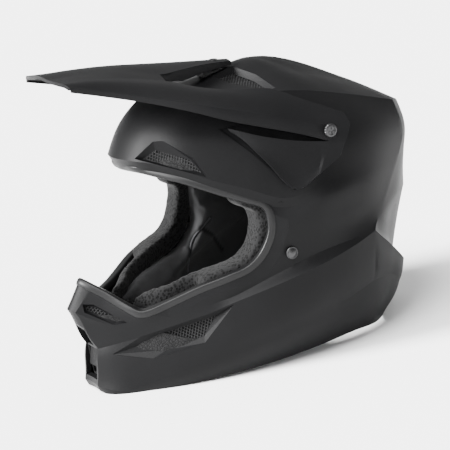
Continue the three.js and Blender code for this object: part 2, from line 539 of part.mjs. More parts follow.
// ---- Peak ---------------------------------------------------------------------------------------
// Lines of the left half from the middle outwards, each from the front edge to the back of the arm.
const visorLines = [
  [[0, -184, 285], [0, -154, 283], [0, -118, 279], [0, -88, 274], [0, -62, 269.5], [0, -34, 265],
    [0, -6, 260.5], [0, 14, 257], [0, 34, 252]],
  [[20, -183, 282.5], [20, -153, 280.5], [22, -118, 275.5], [30, -86, 266.5], [22, -62, 264.5], [13, -34, 262.5],
    [8, -6, 259], [8, 14, 256], [8, 34, 251]],
  [[40, -180, 280.5], [40, -150, 277], [41, -118, 270.5], [45, -88, 262.5], [61, -61, 252], [69, -34, 245],
    [74, -6, 240], [89, 16, 227], [105, 45, 210]],
  [[50, -177, 277], [59, -153, 269.5], [73, -121, 258.5], [86, -88, 247], [93, -62, 237], [99, -32, 226],
    [105, -4, 215], [110.5, 20, 206], [114.5, 45, 201]],
  [[50.5, -177, 273], [59.5, -153, 265], [73.5, -121, 253.5], [87, -88, 239.5], [95, -62, 227], [101, -33, 215],
    [108.5, -1, 202], [114, 22, 191], [118, 37, 190]],
  [[50, -170, 262], [59, -150, 255], [72, -121, 243], [86, -88, 228], [91, -60, 219], [99, -33.5, 207],
    [108, -1, 196], [114, 22, 191], [118, 37, 190]],
  [[50, -170, 260], [59, -150, 253], [71, -121, 241], [82, -88, 227], [89, -57, 215], [103, -36.5, 188],
    [116.5, -15, 158], [119, 6, 167], [120.5, 27, 177]],
];
const stations = visorLines[0].length;
const tongueEnd = 6, openingStart = 3, facetStart = 4, grooveEnd = 7;
// Which cells between line and line + 1, station and station + 1, are solid.
function visorCell(line, station) {
  if (line === 0) return station < tongueEnd;
  if (line === 1) return station < openingStart;
  if (line === 4) return false;
  if (line === 5) return station >= facetStart;
  return true;
}
function visorSurface(alongSteps, acrossSteps) {
  const lines = visorLines.map(line => line.map(p => at(...p)));
  const half = lines.length - 1;
  const all = [...lines.slice(1).reverse().map(line => line.map(flip)), ...lines];
  const sharp = [0, 0, 0.7, 1, 1, 1, 1];
  const across = all.map((line, i) => line.map(() => sharp[Math.abs(i - half)]));
  // The two sides of the arm's groove meet where it ends, and stay one line behind it.
  const meets = i => [4, 5].includes(Math.abs(i - half));
  const along = all.map((line, i) => line.map((p, station) => meets(i) && station === grooveEnd ? 1 : 0));
  const columns = loft(all, across, along, () => alongSteps, () => acrossSteps);
  return { columns, half, alongSteps, acrossSteps };
}
function visorShell(thick, { columns, half, alongSteps, acrossSteps }) {
  const rows = columns[0].length, points = columns.flat(), faces = [];
  for (let c = 0; c < columns.length - 1; c++) {
    for (let r = 0; r < rows - 1; r++) {
      const cell = Math.floor(r / acrossSteps), line = cell >= half ? cell - half : half - 1 - cell;
      if (!visorCell(line, Math.floor(c / alongSteps))) continue;
      faces.push([c * rows + r, c * rows + r + 1, (c + 1) * rows + r + 1, (c + 1) * rows + r]);
    }
  }
  return thickened(points, faces, thick);
}
// A closed body from quads, `thick` to the inside of their faces.
function thickened(points, faces, thick) {
  const key = p => p.toArray().map(v => Math.round(v * 100)).join(), seen = new Map();
  const shared = points.map((p, i) => {
    if (!seen.has(key(p))) seen.set(key(p), i);
    return seen.get(key(p));
  });
  const normals = points.map(() => new THREE.Vector3());
  const cells = faces.map(face => face.map(i => shared[i]));
  for (const [a, b, c, d] of cells) {
    const normal = points[c].clone().sub(points[a]).cross(points[d].clone().sub(points[b]));
    for (const i of [a, b, c, d]) normals[i].add(normal);
  }
  const count = points.length, positions = [...points];
  points.forEach((p, i) => positions.push(p.clone().addScaledVector(normals[i].normalize(), -thick)));
  const triangles = [], edges = new Map();
  for (const [a, b, c, d] of cells) {
    triangles.push(a, b, c, a, c, d);
    triangles.push(a + count, c + count, b + count, a + count, d + count, c + count);
    for (const [i, j] of [[a, b], [b, c], [c, d], [d, a]]) if (i !== j) edges.set(`${i}_${j}`, [i, j]);
  }
  for (const [i, j] of edges.values()) {
    if (!edges.has(`${j}_${i}`)) triangles.push(j, i, i + count, j, i + count, j + count);
  }
  return outward(solidFrom(positions, triangles));
}
// Webs under the tongue, one along each side: [station of the tongue's edge line, depth].
const webDepths = [[4, 10], [5, 7], [6, 3.2]], webThick = 2;
function tongueWeb() {
  const corners = webDepths.map(([station, depth]) => {
    const [x, y, z] = visorLines[1][station];
    return [[x, z - 1], [x - webThick, z - 1], [x - webThick, z - depth], [x, z - depth]]
      .map(([a, c]) => at(a, y, c).toArray());
  });
  return union([Manifold.hull([...corners[0], ...corners[1]]),
    Manifold.hull([...corners[1], ...corners[2]])]);
}
function visor() {
  const web = tongueWeb();
  const body = union([visorShell(visorThick, visorSurface(2, 2)), web, mirrored(web)]);
  const bores = [crossBar(pivot, -wide, wide, screwShank + 2 * screwFit),
    bar(centreSpot.clone().add(up(-wide)), centreSpot.clone().add(up(wide)), centreScrew + 2 * screwFit)];
  return body.subtract(union(bores));
}

// ---- Peak fasteners -----------------------------------------------------------------------------
const shellInsert = () => crossBar(pivot, insertStart, pivot.x - 0.6, insertOuter)
  .subtract(crossBar(pivot, 0, wide, screwShank + 2 * screwFit));
function sideScrew(armFace) {
  const start = insertStart, face = armFace + gap, r = screwHead / 2, length = face - start;
  const head = turned([[0, 0], [screwShank / 2, 0], [screwShank / 2, length], [r, length], [r, length + 1.2],
    [r * 0.92, length + 2.2], [r * 0.62, length + 2.8], [r * 0.5, length + 2.2], [0, length + 2.2]],
    new THREE.Vector3(start, pivot.y, pivot.z), new THREE.Vector3(1, 0, 0));
  const slot = box(face + 1.2, face + 4, pivot.y - r * 0.8, pivot.y + r * 0.8, pivot.z - 0.7, pivot.z + 0.7);
  return head.subtract(slot);
}
// How far out a solid reaches on the side within a round spot.
function reachAt(solid, y, z, radius) {
  return solid.intersect(crossBar({ y, z }, pivot.x - 10, wide, 2 * radius)).boundingBox().max[0];
}
// The middle screw rises, falls, and moves fore and aft as the peak tilts about its side screws.
const reach = pivot.y - centreSpot.y, swing = centreSpot.z + 10 - pivot.z;
const raise = reach * Math.sin(THREE.MathUtils.degToRad(visorTiltUp));
const drop = reach * Math.sin(THREE.MathUtils.degToRad(visorTiltDown));
const slotBack = swing * Math.sin(THREE.MathUtils.degToRad(visorTiltUp)) + screwFit;
const slotFront = swing * Math.sin(THREE.MathUtils.degToRad(visorTiltDown)) + screwFit;
const nutThick = 1.6, nutWide = 8, bracketPlate = 1.6;
const bracket = { halfWide: 6.5, front: centreSpot.y - 14, back: centreSpot.y + 12 };
const tongueUnder = visorBody => visorBody.intersect(box(-bracket.halfWide, bracket.halfWide, bracket.front,
  bracket.back, 0, wide)).boundingBox().min[2];
const slotPunch = (diameter, z0, z1) => Manifold.hull([slotFront * -1, slotBack].map(move =>
  bar(new THREE.Vector3(0, centreSpot.y + move, z0), new THREE.Vector3(0, centreSpot.y + move, z1), diameter)));
function centreBracket(under) {
  const highest = under - drop - gap;
  const block = box(-bracket.halfWide, bracket.halfWide, bracket.front, bracket.back, centreSpot.z - 4, highest)
    .subtract(layer(-gap, 2 * foam));
  const hollow = slotPunch(nutWide + 1.5, coreHigh, highest - bracketPlate);
  return block.subtract(hollow).subtract(slotPunch(centreScrew + 2 * screwFit, coreHigh, wide));
}
const nutTop = under => under - drop - gap - bracketPlate - raise - 0.2;
function centreNut(under) {
  const z = nutTop(under), a = new THREE.Vector3(0, centreSpot.y, z - nutThick);
  return bar(a, a.clone().setZ(z), nutWide, 6).subtract(bar(a.clone().setZ(0), a.clone().setZ(wide),
    centreScrew + 2 * gap));
}
function centreScrewSolid(visorBody, under) {
  const seat = visorBody.intersect(bar(centreSpot, centreSpot.clone().setZ(wide), centreHead + 1))
    .boundingBox().max[2] + gap;
  const start = nutTop(under) - nutThick - 0.4, length = seat - start, r = centreHead / 2;
  return turned([[0, 0], [centreScrew / 2, 0], [centreScrew / 2, length], [r, length], [r, length + 1],
    [r * 0.7, length + 1.8], [0, length + 1.9]], new THREE.Vector3(0, centreSpot.y, start), up(1));
}

// ---- Materials and nodes ------------------------------------------------------------------------
const material = (color, roughness, metalness = 0) => () =>
  new THREE.MeshStandardMaterial({ color, roughness, metalness });
const shellPaint = material('#26272a', 0.45);
const visorPlastic = material('#242528', 0.5);
const rubber = material('#17181a', 0.6);
const foamGrey = material('#1d1d1f', 0.9);
const fabric = material('#3a3b3e', 0.95);
const meshBlack = material('#1b1c1e', 0.55);
const webbingBlack = material('#1a1b1d', 0.85);
const steel = material('#9a9c9f', 0.3, 1);
const brass = material('#8f7a45', 0.4, 1);
const darkPlastic = material('#1c1d1f', 0.5);

const assembly = new THREE.Group();
function add(name, solid, paint) {
  const mesh = solid.getMesh(), geometry = new THREE.BufferGeometry();
  geometry.setAttribute('position', new THREE.Float32BufferAttribute(mesh.vertProperties, 3));
  geometry.setIndex(Array.from(mesh.triVerts));
  geometry.computeVertexNormals();
  const node = new THREE.Mesh(geometry, paint());
  node.name = name;
  assembly.add(node);
}
function addPair(name, solid, paint) {
  add(`${name}_left`, solid, paint);
  add(`${name}_right`, mirrored(solid), paint);
}

const visorBody = visor();
const armFace = reachAt(visorBody, pivot.y, pivot.z, screwHead / 2);
const under = tongueUnder(visorBody);
const seatSpace = crossBar(pivot, armFace, wide, screwHead + 1);

add('outer_shell', outerShell(), shellPaint);
add('eyeport_trim', eyeportTrim(), rubber);
add('lower_rim_trim', rimTrim(), rubber);
add('breath_guard', breathGuard(), rubber);
add('mouth_vent_frame', mouthFrame(), darkPlastic);
add('mouth_vent_mesh', mouthMesh(), meshBlack);
for (const [name, vent] of Object.entries(vents)) addPair(name, ventMesh(vent), meshBlack);
add('eps_liner', epsLiner(), foamGrey);
add('chin_bar_eps', chinFoamBlock(), foamGrey);
add('comfort_liner', comfortLiner(), fabric);
add('neck_roll', neckRoll(), fabric);
addPair('cheek_pad', cheekPads(), fabric);
add('visor', visorBody.subtract(seatSpace), visorPlastic);
addPair('shell_insert', shellInsert(), brass);
addPair('visor_side_screw', sideScrew(armFace), steel);
add('visor_centre_bracket', centreBracket(under), darkPlastic);
add('visor_centre_nut', centreNut(under), brass);
add('visor_centre_screw', centreScrewSolid(visorBody, under), darkPlastic);
addPair('strap_anchor', anchorPlate(), steel);
addPair('strap_rivet', rivetSolid(), steel);
add('strap_sleeve_left', strapSleeve(longRoute), fabric);
add('strap_sleeve_right', strapSleeve(shortRoute), fabric);
add('chin_strap_left', webbing(longRoute, strapWidth - 1, strapThick), webbingBlack);
add('chin_strap_right', webbing(shortRoute, strapWidth - 1, strapThick), webbingBlack);
add('d_ring_loop', ringLoop(), webbingBlack);
add('d_ring_outer', dRing(ringZ[0]), steel);
add('d_ring_inner', dRing(ringZ[1]), steel);
add('strap_snap', strapSnap(), darkPlastic);

// The origin is the middle of the base.
const bounds = new THREE.Box3().setFromObject(assembly);
assembly.position.set(0, -(bounds.min.y + bounds.max.y) / 2, -bounds.min.z);
const group = new THREE.Group();
group.add(assembly);
export default group;
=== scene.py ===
"""An off-road helmet with a peak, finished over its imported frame.

Metres, +Z up; the face looks along -Y and +X is the wearer's left. Places are written in millimetres
of the shell's pattern, whose zero is under the middle of the head, and put() moves them to the frame.
"""
import json
import math
import bmesh
import bpy
import numpy as np
from mathutils import Matrix, Vector
from mathutils.bvhtree import BVHTree


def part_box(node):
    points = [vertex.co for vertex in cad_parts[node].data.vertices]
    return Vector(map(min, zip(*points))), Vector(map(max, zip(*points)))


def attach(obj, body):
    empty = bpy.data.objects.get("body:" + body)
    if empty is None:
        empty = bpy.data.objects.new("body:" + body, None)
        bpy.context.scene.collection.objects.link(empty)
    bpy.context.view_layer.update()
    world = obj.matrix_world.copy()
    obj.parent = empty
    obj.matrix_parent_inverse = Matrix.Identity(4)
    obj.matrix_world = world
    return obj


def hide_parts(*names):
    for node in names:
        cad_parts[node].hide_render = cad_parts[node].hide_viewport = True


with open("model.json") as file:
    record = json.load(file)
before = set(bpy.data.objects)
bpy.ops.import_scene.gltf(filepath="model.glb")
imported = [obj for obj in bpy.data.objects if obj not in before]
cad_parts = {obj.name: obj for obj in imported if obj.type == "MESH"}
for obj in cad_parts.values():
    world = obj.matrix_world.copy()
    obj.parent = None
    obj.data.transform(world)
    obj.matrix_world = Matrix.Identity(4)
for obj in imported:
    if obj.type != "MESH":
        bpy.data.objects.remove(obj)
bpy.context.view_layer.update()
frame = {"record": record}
MM = 0.001
shell_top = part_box("outer_shell")[1]
PATTERN_BACK, PATTERN_TOP = 150, 257
SHIFT = np.array([0, shell_top.y / MM - PATTERN_BACK, shell_top.z / MM - PATTERN_TOP])


def put(points):
    """Pattern millimetres to frame metres."""
    return (np.asarray(points, float) + SHIFT) * MM


# ---- Sizes shared with the CAD pieces, in millimetres ----
WALL = 3.5
SHOWN_WALL = 5.2     # with the turned edges and the scoops' backs
GAP = 0.4
FOAM = 25
CHIN_FOAM = 13
LINING = 8
CHEEK_PAD = 28
TRIM_LIP = 5
TRIM_THICK = 1.5
GUARD_THICK = 2.4
PEAK_THICK = 3
FOOT_FLAT = 1.2
LAND_WIDTH = 15      # the chamfer round the sides and foot of the eyeport
LAND_DEPTH = 3
ARM_SEAT = 1.3       # depth of the seats under the peak's arms
ARM_CLEARANCE = 1.6  # of a seat round its arm
PIVOT = (24, 200)      # the peak's side screws, as pattern (y, z)
RIVET = (-27, 103)     # the strap's rivets
LINER_DEPTH = WALL + GAP + TRIM_THICK + GAP

# ---- The shell's surface ----
# Each line runs from the middle of the front round the left side to the middle of the back.
SHELL_LINES = {
    "rim_inner": [(0, -168, 8), (10, -168, 8), (18, -164, 6), (36, -140, 6), (54, -110, 7),
        (66, -80, 9), (74, -42, 11), (77, 0, 13), (73, 30, 14), (64, 52, 13), (48, 70, 12),
        (30, 82, 10), (0, 90, 9)],
    "rim_outer": [(0, -185, 3), (13, -186, 3), (25, -181, 0), (47, -151, 0), (66, -118, 2),
        (79, -84, 4), (87, -44, 6), (90, 2, 9), (86, 34, 10), (76, 58, 7), (58, 77, 3), (36, 93, 0),
        (0, 102, 0)],
    "lower_crease": [(0, -187, 9), (14, -188, 9), (29, -179, 5), (52, -150, 9), (73, -118, 19),
        (87, -88, 27), (102, -46, 36), (108, 2, 45), (105, 28, 49), (96, 56, 53), (78, 84, 48),
        (50, 108, 30), (0, 125, 26)],
    "band_top": [(0, -183, 41), (14, -181, 41), (25, -171, 44), (44, -150, 49.5), (70, -118, 58.5),
        (91, -85, 69.5), (107, -44, 79), (116, 5, 89.5), (116, 32, 96), (111, 56, 101.5), (85, 87, 74),
        (50, 116, 49), (0, 132, 45)],
    "band_foot": [(0, -197, 79), (9, -194, 77), (21, -181, 68), (46, -150, 60), (70, -119, 69),
        (87, -86, 73.5), (101, -44, 86), (111, 4, 98), (114, 32, 101), (111, 56, 102), (82, 84, 78),
        (46, 106, 55), (0, 122, 51)],
    "chin_top": [(0, -181, 102), (12, -176, 97), (22, -168, 90), (49, -151, 71), (70, -121, 80),
        (92, -82, 93), (102, -44, 104), (113, 4, 113), (112, 36, 113), (105, 64, 111), (78, 93, 100),
        (46, 118, 90), (0, 132, 85)],
    "eye_level": [(0, -160, 140), (16, -155, 138), (28, -146, 134), (55, -128, 128), (78, -100, 126),
        (94, -72, 124), (104, -40, 126), (116, 6, 130), (113, 42, 128), (97, 78, 123), (75, 106, 120),
        (48, 128, 118), (0, 141, 115)],
    "brow_low": [(0, -124, 189), (28, -118, 187.5), (44, -108, 185), (62, -95, 179.5), (79, -77, 168),
        (91, -59, 157), (103, -27, 143), (118, 8, 146), (112, 50, 146), (90, 93, 140), (72, 114, 139),
        (47, 131, 138), (0, 144, 137)],
    "brow_edge": [(0, -129, 199), (28, -123, 198), (45, -112, 195), (64, -98, 189), (82, -78, 177),
        (96, -54, 165.5), (107.5, -22, 150.5), (114.5, 10, 158), (109, 54, 157), (83, 105, 152),
        (68, 121, 153), (46, 134, 153), (0, 146, 153)],
    "temple": [(0, -114, 222), (24, -109, 222), (40, -100, 221), (56, -88, 218), (74, -67, 211),
        (89, -42, 204), (97.5, -14, 200), (104.5, 18, 198), (100, 58, 190), (70, 122, 173),
        (60, 131, 174), (42, 139, 175), (0, 150, 176)],
    "crown_edge": [(0, -86, 242), (18, -83, 242), (32, -77, 241), (44, -68, 240), (56, -54, 240),
        (65, -33, 239), (70, -8, 237), (72, 25, 231), (70, 65, 219), (60, 122, 199), (48, 133, 196),
        (32, 141, 193), (0, 148, 191)],
    "crown_mid": [(0, -42, 248), (10, -41, 248), (17, -38, 247.5), (23, -33, 247), (29, -25, 246.5),
        (34, -14, 246.5), (37, 0, 247), (38, 20, 247), (38, 48, 238), (32, 88, 223), (25, 97, 221),
        (15, 102, 220), (0, 105, 219)],
}
CROWN_TOP = (0, 14, 257)
# How sharp each line is where the columns cross it: 1 is a corner, 0 is smooth.
LINE_SHARP = {
    "rim_outer": [1] * 13,
    "lower_crease": [1, 1, 1, 0.8, 0.8, 1, 1, 1, 1, 0.8, 0.6, 1, 1],
    "band_top": [1] * 13,
    "band_foot": [1, 1, 1, 0, 0, 1, 1, 1, 1, 0.6, 0.6, 1, 1],
    "eye_level": [0] * 10 + [0.7, 1, 1],
    "brow_low": [1] * 6 + [0.7] + [0] * 6,
    "brow_edge": [1] * 7 + [0] * 6,
    "crown_edge": [0] * 4 + [0.5, 0.9] + [1] * 7,
}
MOUTH_CREASE = (1, ["rim_inner", "rim_outer", "lower_crease", "band_top", "band_foot", "chin_top"])
BACK_CREASE = (9, ["band_top", "band_foot", "eye_level", "brow_low", "brow_edge", "temple", "crown_edge"])


# ---- Lofts ----
def slopes(points, sharp):
    """Slopes into and out of each point: shared at a smooth point, one-sided at a sharp one."""
    run = np.maximum(np.linalg.norm(np.diff(points, axis=0), axis=-1, keepdims=True), 1e-6)
    chord = np.diff(points, axis=0) / run
    smooth = np.empty_like(points)
    smooth[0], smooth[-1] = chord[0], chord[-1]
    smooth[1:-1] = (run[1:] * chord[:-1] + run[:-1] * chord[1:]) / (run[1:] + run[:-1])
    into, out = smooth.copy(), smooth.copy()
    blend = sharp[..., None]
    into[1:] += blend[1:] * (1.5 * chord - 0.5 * smooth[:-1] - smooth[1:])
    out[:-1] += blend[:-1] * (1.5 * chord - 0.5 * smooth[1:] - smooth[:-1])
    return run, into, out


def sample(points, sharp, steps, first, last):
    """Points along the curve through `points` from `first` to `last`, and where on it they are."""
    run, into, out = slopes(points, sharp)
    found, places = [], []
    for i in range(first, last):
        for t in np.arange(steps) / steps:
            a, b = 2 * t ** 3 - 3 * t ** 2 + 1, t ** 3 - 2 * t ** 2 + t
            c, d = 3 * t ** 2 - 2 * t ** 3, t ** 3 - t ** 2
            found.append(a * points[i] + b * run[i] * out[i] + c * points[i + 1] + d * run[i] * into[i + 1])
            places.append(i - first + t)
    found.append(points[last])
    places.append(last - first)
    return np.array(found), np.array(places)


def shell_grid(along, across):
    """The outer surface, as [column round the head, row from the rim to the crown, xyz] in pattern mm."""
    names = list(SHELL_LINES)
    left = np.array([SHELL_LINES[n] for n in names], float)
    right = left[:, -2:0:-1] * (-1, 1, 1)
    ring = np.concatenate([left, right], 1)
    column_sharp = np.zeros(left.shape[:2])
    for column, lines in (MOUTH_CREASE, BACK_CREASE):
        for name in lines:
            column_sharp[names.index(name), column] = 1
    line_sharp = np.array([LINE_SHARP.get(n, [0] * 13) for n in names], float)
    around = lambda a: np.concatenate([a, a[:, -2:0:-1]], 1)
    column_sharp, line_sharp = around(column_sharp), around(line_sharp)
    count = ring.shape[1]
    padded = np.concatenate([ring[:, -2:], ring, ring[:, :3]], 1)
    sharp = np.concatenate([column_sharp[:, -2:], column_sharp, column_sharp[:, :3]], 1)
    rows, places = sample(padded.swapaxes(0, 1), sharp.T, along, 2, 2 + count)
    rows, places = rows[:-1], places[:-1]
    whole = places.astype(int)
    part = places - whole
    crossing = line_sharp[:, whole] * (1 - part) + line_sharp[:, (whole + 1) % count] * part
    lines = rows.swapaxes(0, 1)
    top = np.broadcast_to(np.array(CROWN_TOP, float), lines[0].shape)
    beyond = np.concatenate([2 * top[:, :2] - lines[-1][:, :2], lines[-1][:, 2:]], 1)
    lines = np.concatenate([lines, top[None], beyond[None]])
    crossing = np.concatenate([crossing, crossing[:1] * 0, crossing[:1] * 0])
    grid, _ = sample(lines, crossing, across, 0, len(names))
    return grid.swapaxes(0, 1)


def inward(points, depth):
    """Points moved under the surface, towards a core inside the head."""
    core = np.zeros_like(points)
    core[..., 1] = np.clip(points[..., 1] / 2, -40, 40)
    core[..., 2] = np.clip(points[..., 2], 60, 150)
    step = core - points
    return points + depth * step / np.linalg.norm(step, axis=-1, keepdims=True)


# ---- Mesh pieces ----
def add_object(name, data):
    made = bpy.data.objects.new(name, data)
    bpy.context.scene.collection.objects.link(made)
    return made


def vertex_values(piece, value="co"):
    found = np.empty(3 * len(piece.data.vertices))
    piece.data.vertices.foreach_get(value, found)
    return found.reshape(-1, 3)


def move_vertices(piece, points):
    piece.data.vertices.foreach_set("co", np.ravel(points))
    piece.data.update()


def unit(vectors):
    return vectors / np.linalg.norm(vectors, axis=-1, keepdims=True)


def new_piece(name, points, faces, merge=1e-6):
    mesh = bpy.data.meshes.new(name)
    mesh.from_pydata([tuple(p) for p in points], [], [tuple(map(int, f)) for f in faces])
    piece = add_object(name, mesh)
    form = bmesh.new()
    form.from_mesh(mesh)
    bmesh.ops.remove_doubles(form, verts=form.verts, dist=merge)
    bmesh.ops.recalc_face_normals(form, faces=form.faces)
    form.to_mesh(mesh)
    form.free()
    return piece


def layer_piece(name, grid, outer, inner):
    """The closed layer between two depths under the shell's surface."""
    columns, rows = grid.shape[:2]
    points = np.concatenate([inward(grid, outer).reshape(-1, 3), inward(grid, inner).reshape(-1, 3)])
    c, r = np.meshgrid(np.arange(columns), np.arange(rows - 1), indexing="ij")
    d = (c + 1) % columns
    face = np.stack([c * rows + r, d * rows + r, d * rows + r + 1, c * rows + r + 1], -1).reshape(-1, 4)
    under = columns * rows
    c = np.arange(columns)
    d = (c + 1) % columns
    rim = np.stack([d * rows, c * rows, c * rows + under, d * rows + under], -1)
    return new_piece(name, put(points), np.concatenate([face, face[:, ::-1] + under, rim]))


def settle(piece):
    """Applies the piece's modifiers."""
    graph = bpy.context.evaluated_depsgraph_get()
    made = bpy.data.meshes.new_from_object(piece.evaluated_get(graph))
    piece.modifiers.clear()
    piece.data = made
    return piece


def carve(piece, *tools, how="DIFFERENCE"):
    for tool in tools:
        cut = piece.modifiers.new("carve", "BOOLEAN")
        cut.object, cut.operation, cut.solver = tool, how, "MANIFOLD"
        settle(piece)
        bpy.data.objects.remove(tool)
    return piece


def prism(outline, x0=-260, x1=260):
    """A side outline of pattern (y, z) points, run along X."""
    count = len(outline)
    ends = [[(x, y, z) for y, z in outline] for x in (x0, x1)]
    sides = [(i, (i + 1) % count, (i + 1) % count + count, i + count) for i in range(count)]
    piece = new_piece("tool", put(ends[0] + ends[1]), sides + [range(count), range(count, 2 * count)])
    form = bmesh.new()
    form.from_mesh(piece.data)
    bmesh.ops.triangulate(form, faces=[f for f in form.faces if len(f.verts) > 4])
    form.to_mesh(piece.data)
    form.free()
    return piece


def hull(points, name="tool"):
    """The convex solid round pattern points."""
    form = bmesh.new()
    for p in put(points):
        form.verts.new(p)
    made = bmesh.ops.convex_hull(form, input=form.verts)
    loose = [v for v in made["geom_interior"] + made["geom_unused"] if isinstance(v, bmesh.types.BMVert)]
    bmesh.ops.delete(form, geom=list(set(loose)), context="VERTS")
    mesh = bpy.data.meshes.new(name)
    form.to_mesh(mesh)
    form.free()
    return add_object(name, mesh)


def rod(start, end, radius):
    """A round bar between two pattern points."""
    ahead = Vector(end) - Vector(start)
    return turned("tool", [(0, 0), (radius, 0), (radius, ahead.length), (0, ahead.length)],
                  Vector(put(start)), ahead, sides=40)


def rounded_box(width, height, corner, steps=3):
    """A section of (across, up) points in mm: a box with round corners."""
    found = []
    for k, (sx, sy) in enumerate(((1, 1), (-1, 1), (-1, -1), (1, -1))):
        for j in range(steps + 1):
            turn = math.pi / 2 * (k + j / steps)
            found.append((sx * (width / 2 - corner) + corner * math.cos(turn),
                          sy * (height / 2 - corner) + corner * math.sin(turn)))
    return found


def smooth_corners(corners, radius):
    """A closed outline of points with its corners cut round."""
    corners = np.asarray(corners, float)
    found = []
    for before, here, after in zip(np.roll(corners, 1, 0), corners, np.roll(corners, -1, 0)):
        a = here + radius * (before - here) / np.linalg.norm(before - here)
        b = here + radius * (after - here) / np.linalg.norm(after - here)
        found += [(1 - t) ** 2 * a + 2 * t * (1 - t) * here + t * t * b for t in (0, 0.33, 0.67, 1)]
    return found


def block(low, high):
    return hull([(x, y, z) for x in (low[0], high[0]) for y in (low[1], high[1])
                 for z in (low[2], high[2])])


def grown(outline, amount):
    """An outline, drawn anticlockwise, with every side moved out."""
    p = np.asarray(outline, float)
    side = np.roll(p, -1, 0) - p
    normal = np.stack([side[:, 1], -side[:, 0]], 1) / np.linalg.norm(side, axis=1, keepdims=True)
    corner = normal + np.roll(normal, 1, 0)
    corner /= np.maximum((corner * normal).sum(1, keepdims=True), 0.3)
    return p + amount * corner


def smooth_through(points, steps):
    points = np.asarray(points, float)
    found, _ = sample(points, np.zeros(len(points)), steps, 0, len(points) - 1)
    return found


def even(path, spacing, closed=False):
    """The same path with points an even distance apart."""
    path = np.asarray(path, float)
    if closed:
        path = np.concatenate([path, path[:1]])
    run = np.concatenate([[0], np.cumsum(np.linalg.norm(np.diff(path, axis=0), axis=1))])
    count = max(int(run[-1] / spacing), 4)
    at = np.linspace(0, run[-1], count, endpoint=not closed)
    return np.stack([np.interp(at, run, path[:, k]) for k in range(3)], 1)


def sweep(name, path, profile, up, closed=False):
    """A section of (across, up) points in mm, carried along a path of frame points.

    `up` is one vector, or one for each point of the path.
    """
    path = np.asarray(path, float)
    profile = [(a * MM, b * MM) for a, b in profile]
    count, sides = len(path), len(profile)
    ahead = np.roll(path, -1, 0) - np.roll(path, 1, 0)
    if not closed:
        ahead[0], ahead[-1] = path[1] - path[0], path[-1] - path[-2]
    ahead = unit(ahead)
    across = unit(np.cross(np.broadcast_to(np.asarray(up, float), path.shape), ahead))
    rise = np.cross(ahead, across)
    points = [path[i] + across[i] * a + rise[i] * b for i in range(count) for a, b in profile]
    faces = []
    for i in range(count if closed else count - 1):
        j = (i + 1) % count
        for k in range(sides):
            m = (k + 1) % sides
            faces.append((i * sides + k, i * sides + m, j * sides + m, j * sides + k))
    if not closed:
        faces += [range(sides), range((count - 1) * sides, count * sides)]
    return new_piece(name, points, faces)


def round_section(radius, sides):
    return [(radius * math.cos(2 * math.pi * k / sides), radius * math.sin(2 * math.pi * k / sides))
            for k in range(sides)]


def turned(name, profile, base, axis, sides):
    """A turned piece: (radius, height) points in mm about an axis from a frame point."""
    axis = Vector(axis).normalized()
    side = axis.orthogonal().normalized()
    other = axis.cross(side)
    points, faces = [], []
    for k in range(sides):
        turn = 2 * math.pi * k / sides
        spoke = side * math.cos(turn) + other * math.sin(turn)
        points += [Vector(base) + (spoke * r + axis * h) * MM for r, h in profile]
    rows = len(profile)
    for k in range(sides):
        j = (k + 1) % sides
        faces += [(k * rows + i, j * rows + i, j * rows + i + 1, k * rows + i + 1) for i in range(rows - 1)]
    return new_piece(name, points, faces)


def shade(piece, angle):
    piece.data.polygons.foreach_set("use_smooth", [True] * len(piece.data.polygons))
    piece.data.set_sharp_from_angle(angle=math.radians(angle))
    return piece


# ---- Shader board ----
class Signal:
    """A shader socket's value; sums, differences and products add the Math nodes they need."""

    def __init__(self, board, socket):
        self.board, self.socket = board, socket

    def maths(self, operation, first, second):
        return self.board.add("ShaderNodeMath", {"operation": operation}, {0: first, 1: second})

    def __add__(self, other):
        return self.maths("ADD", self, other)

    def __sub__(self, other):
        return self.maths("SUBTRACT", self, other)

    def __rsub__(self, other):
        return self.maths("SUBTRACT", other, self)

    def __mul__(self, other):
        return self.maths("MULTIPLY", self, other)

    __radd__ = __add__
    __rmul__ = __mul__


class Board:
    """The node tree of one finish."""

    def __init__(self, name):
        self.finish = bpy.data.materials.new(name)
        self.finish.use_nodes = True
        self.tree = self.finish.node_tree
        self.tree.nodes.clear()

    def add(self, kind, settings=None, sockets=None, out=0):
        node = self.tree.nodes.new(kind)
        for key, value in (settings or {}).items():
            setattr(node, key, value)
        for key, value in (sockets or {}).items():
            if isinstance(value, Signal):
                self.tree.links.new(value.socket, node.inputs[key])
            else:
                node.inputs[key].default_value = value
        return Signal(self, node.outputs[out]) if len(node.outputs) else None

    def place(self):
        return self.add("ShaderNodeTexCoord", out=3)

    def noise(self, scale, detail=2.0, rough=0.5):
        sockets = {"Vector": self.place(), "Scale": scale, "Detail": detail, "Roughness": rough}
        return self.add("ShaderNodeTexNoise", {}, sockets)

    def cells(self, scale, feature="F1"):
        sockets = {"Vector": self.place(), "Scale": scale}
        return self.add("ShaderNodeTexVoronoi", {"feature": feature}, sockets)

    def ramp(self, signal, low, high):
        return self.add("ShaderNodeMapRange", {}, {0: signal, 1: low, 2: high, 3: 0.0, 4: 1.0})

    def blend(self, factor, first, second):
        colour = lambda c: c if isinstance(c, Signal) else (*c, 1.0)
        sockets = {0: factor, 6: colour(first), 7: colour(second)}
        return self.add("ShaderNodeMix", {"data_type": "RGBA"}, sockets, 2)

    def relief(self, height, distance, strength):
        return self.add("ShaderNodeBump", {},
                        {"Height": height, "Distance": distance, "Strength": strength})

    def surface(self, **sockets):
        named = {key.replace("_", " "): value for key, value in sockets.items()}
        shader = self.add("ShaderNodeBsdfPrincipled", {}, named)
        self.add("ShaderNodeOutputMaterial", {}, {"Surface": shader})
        return self.finish


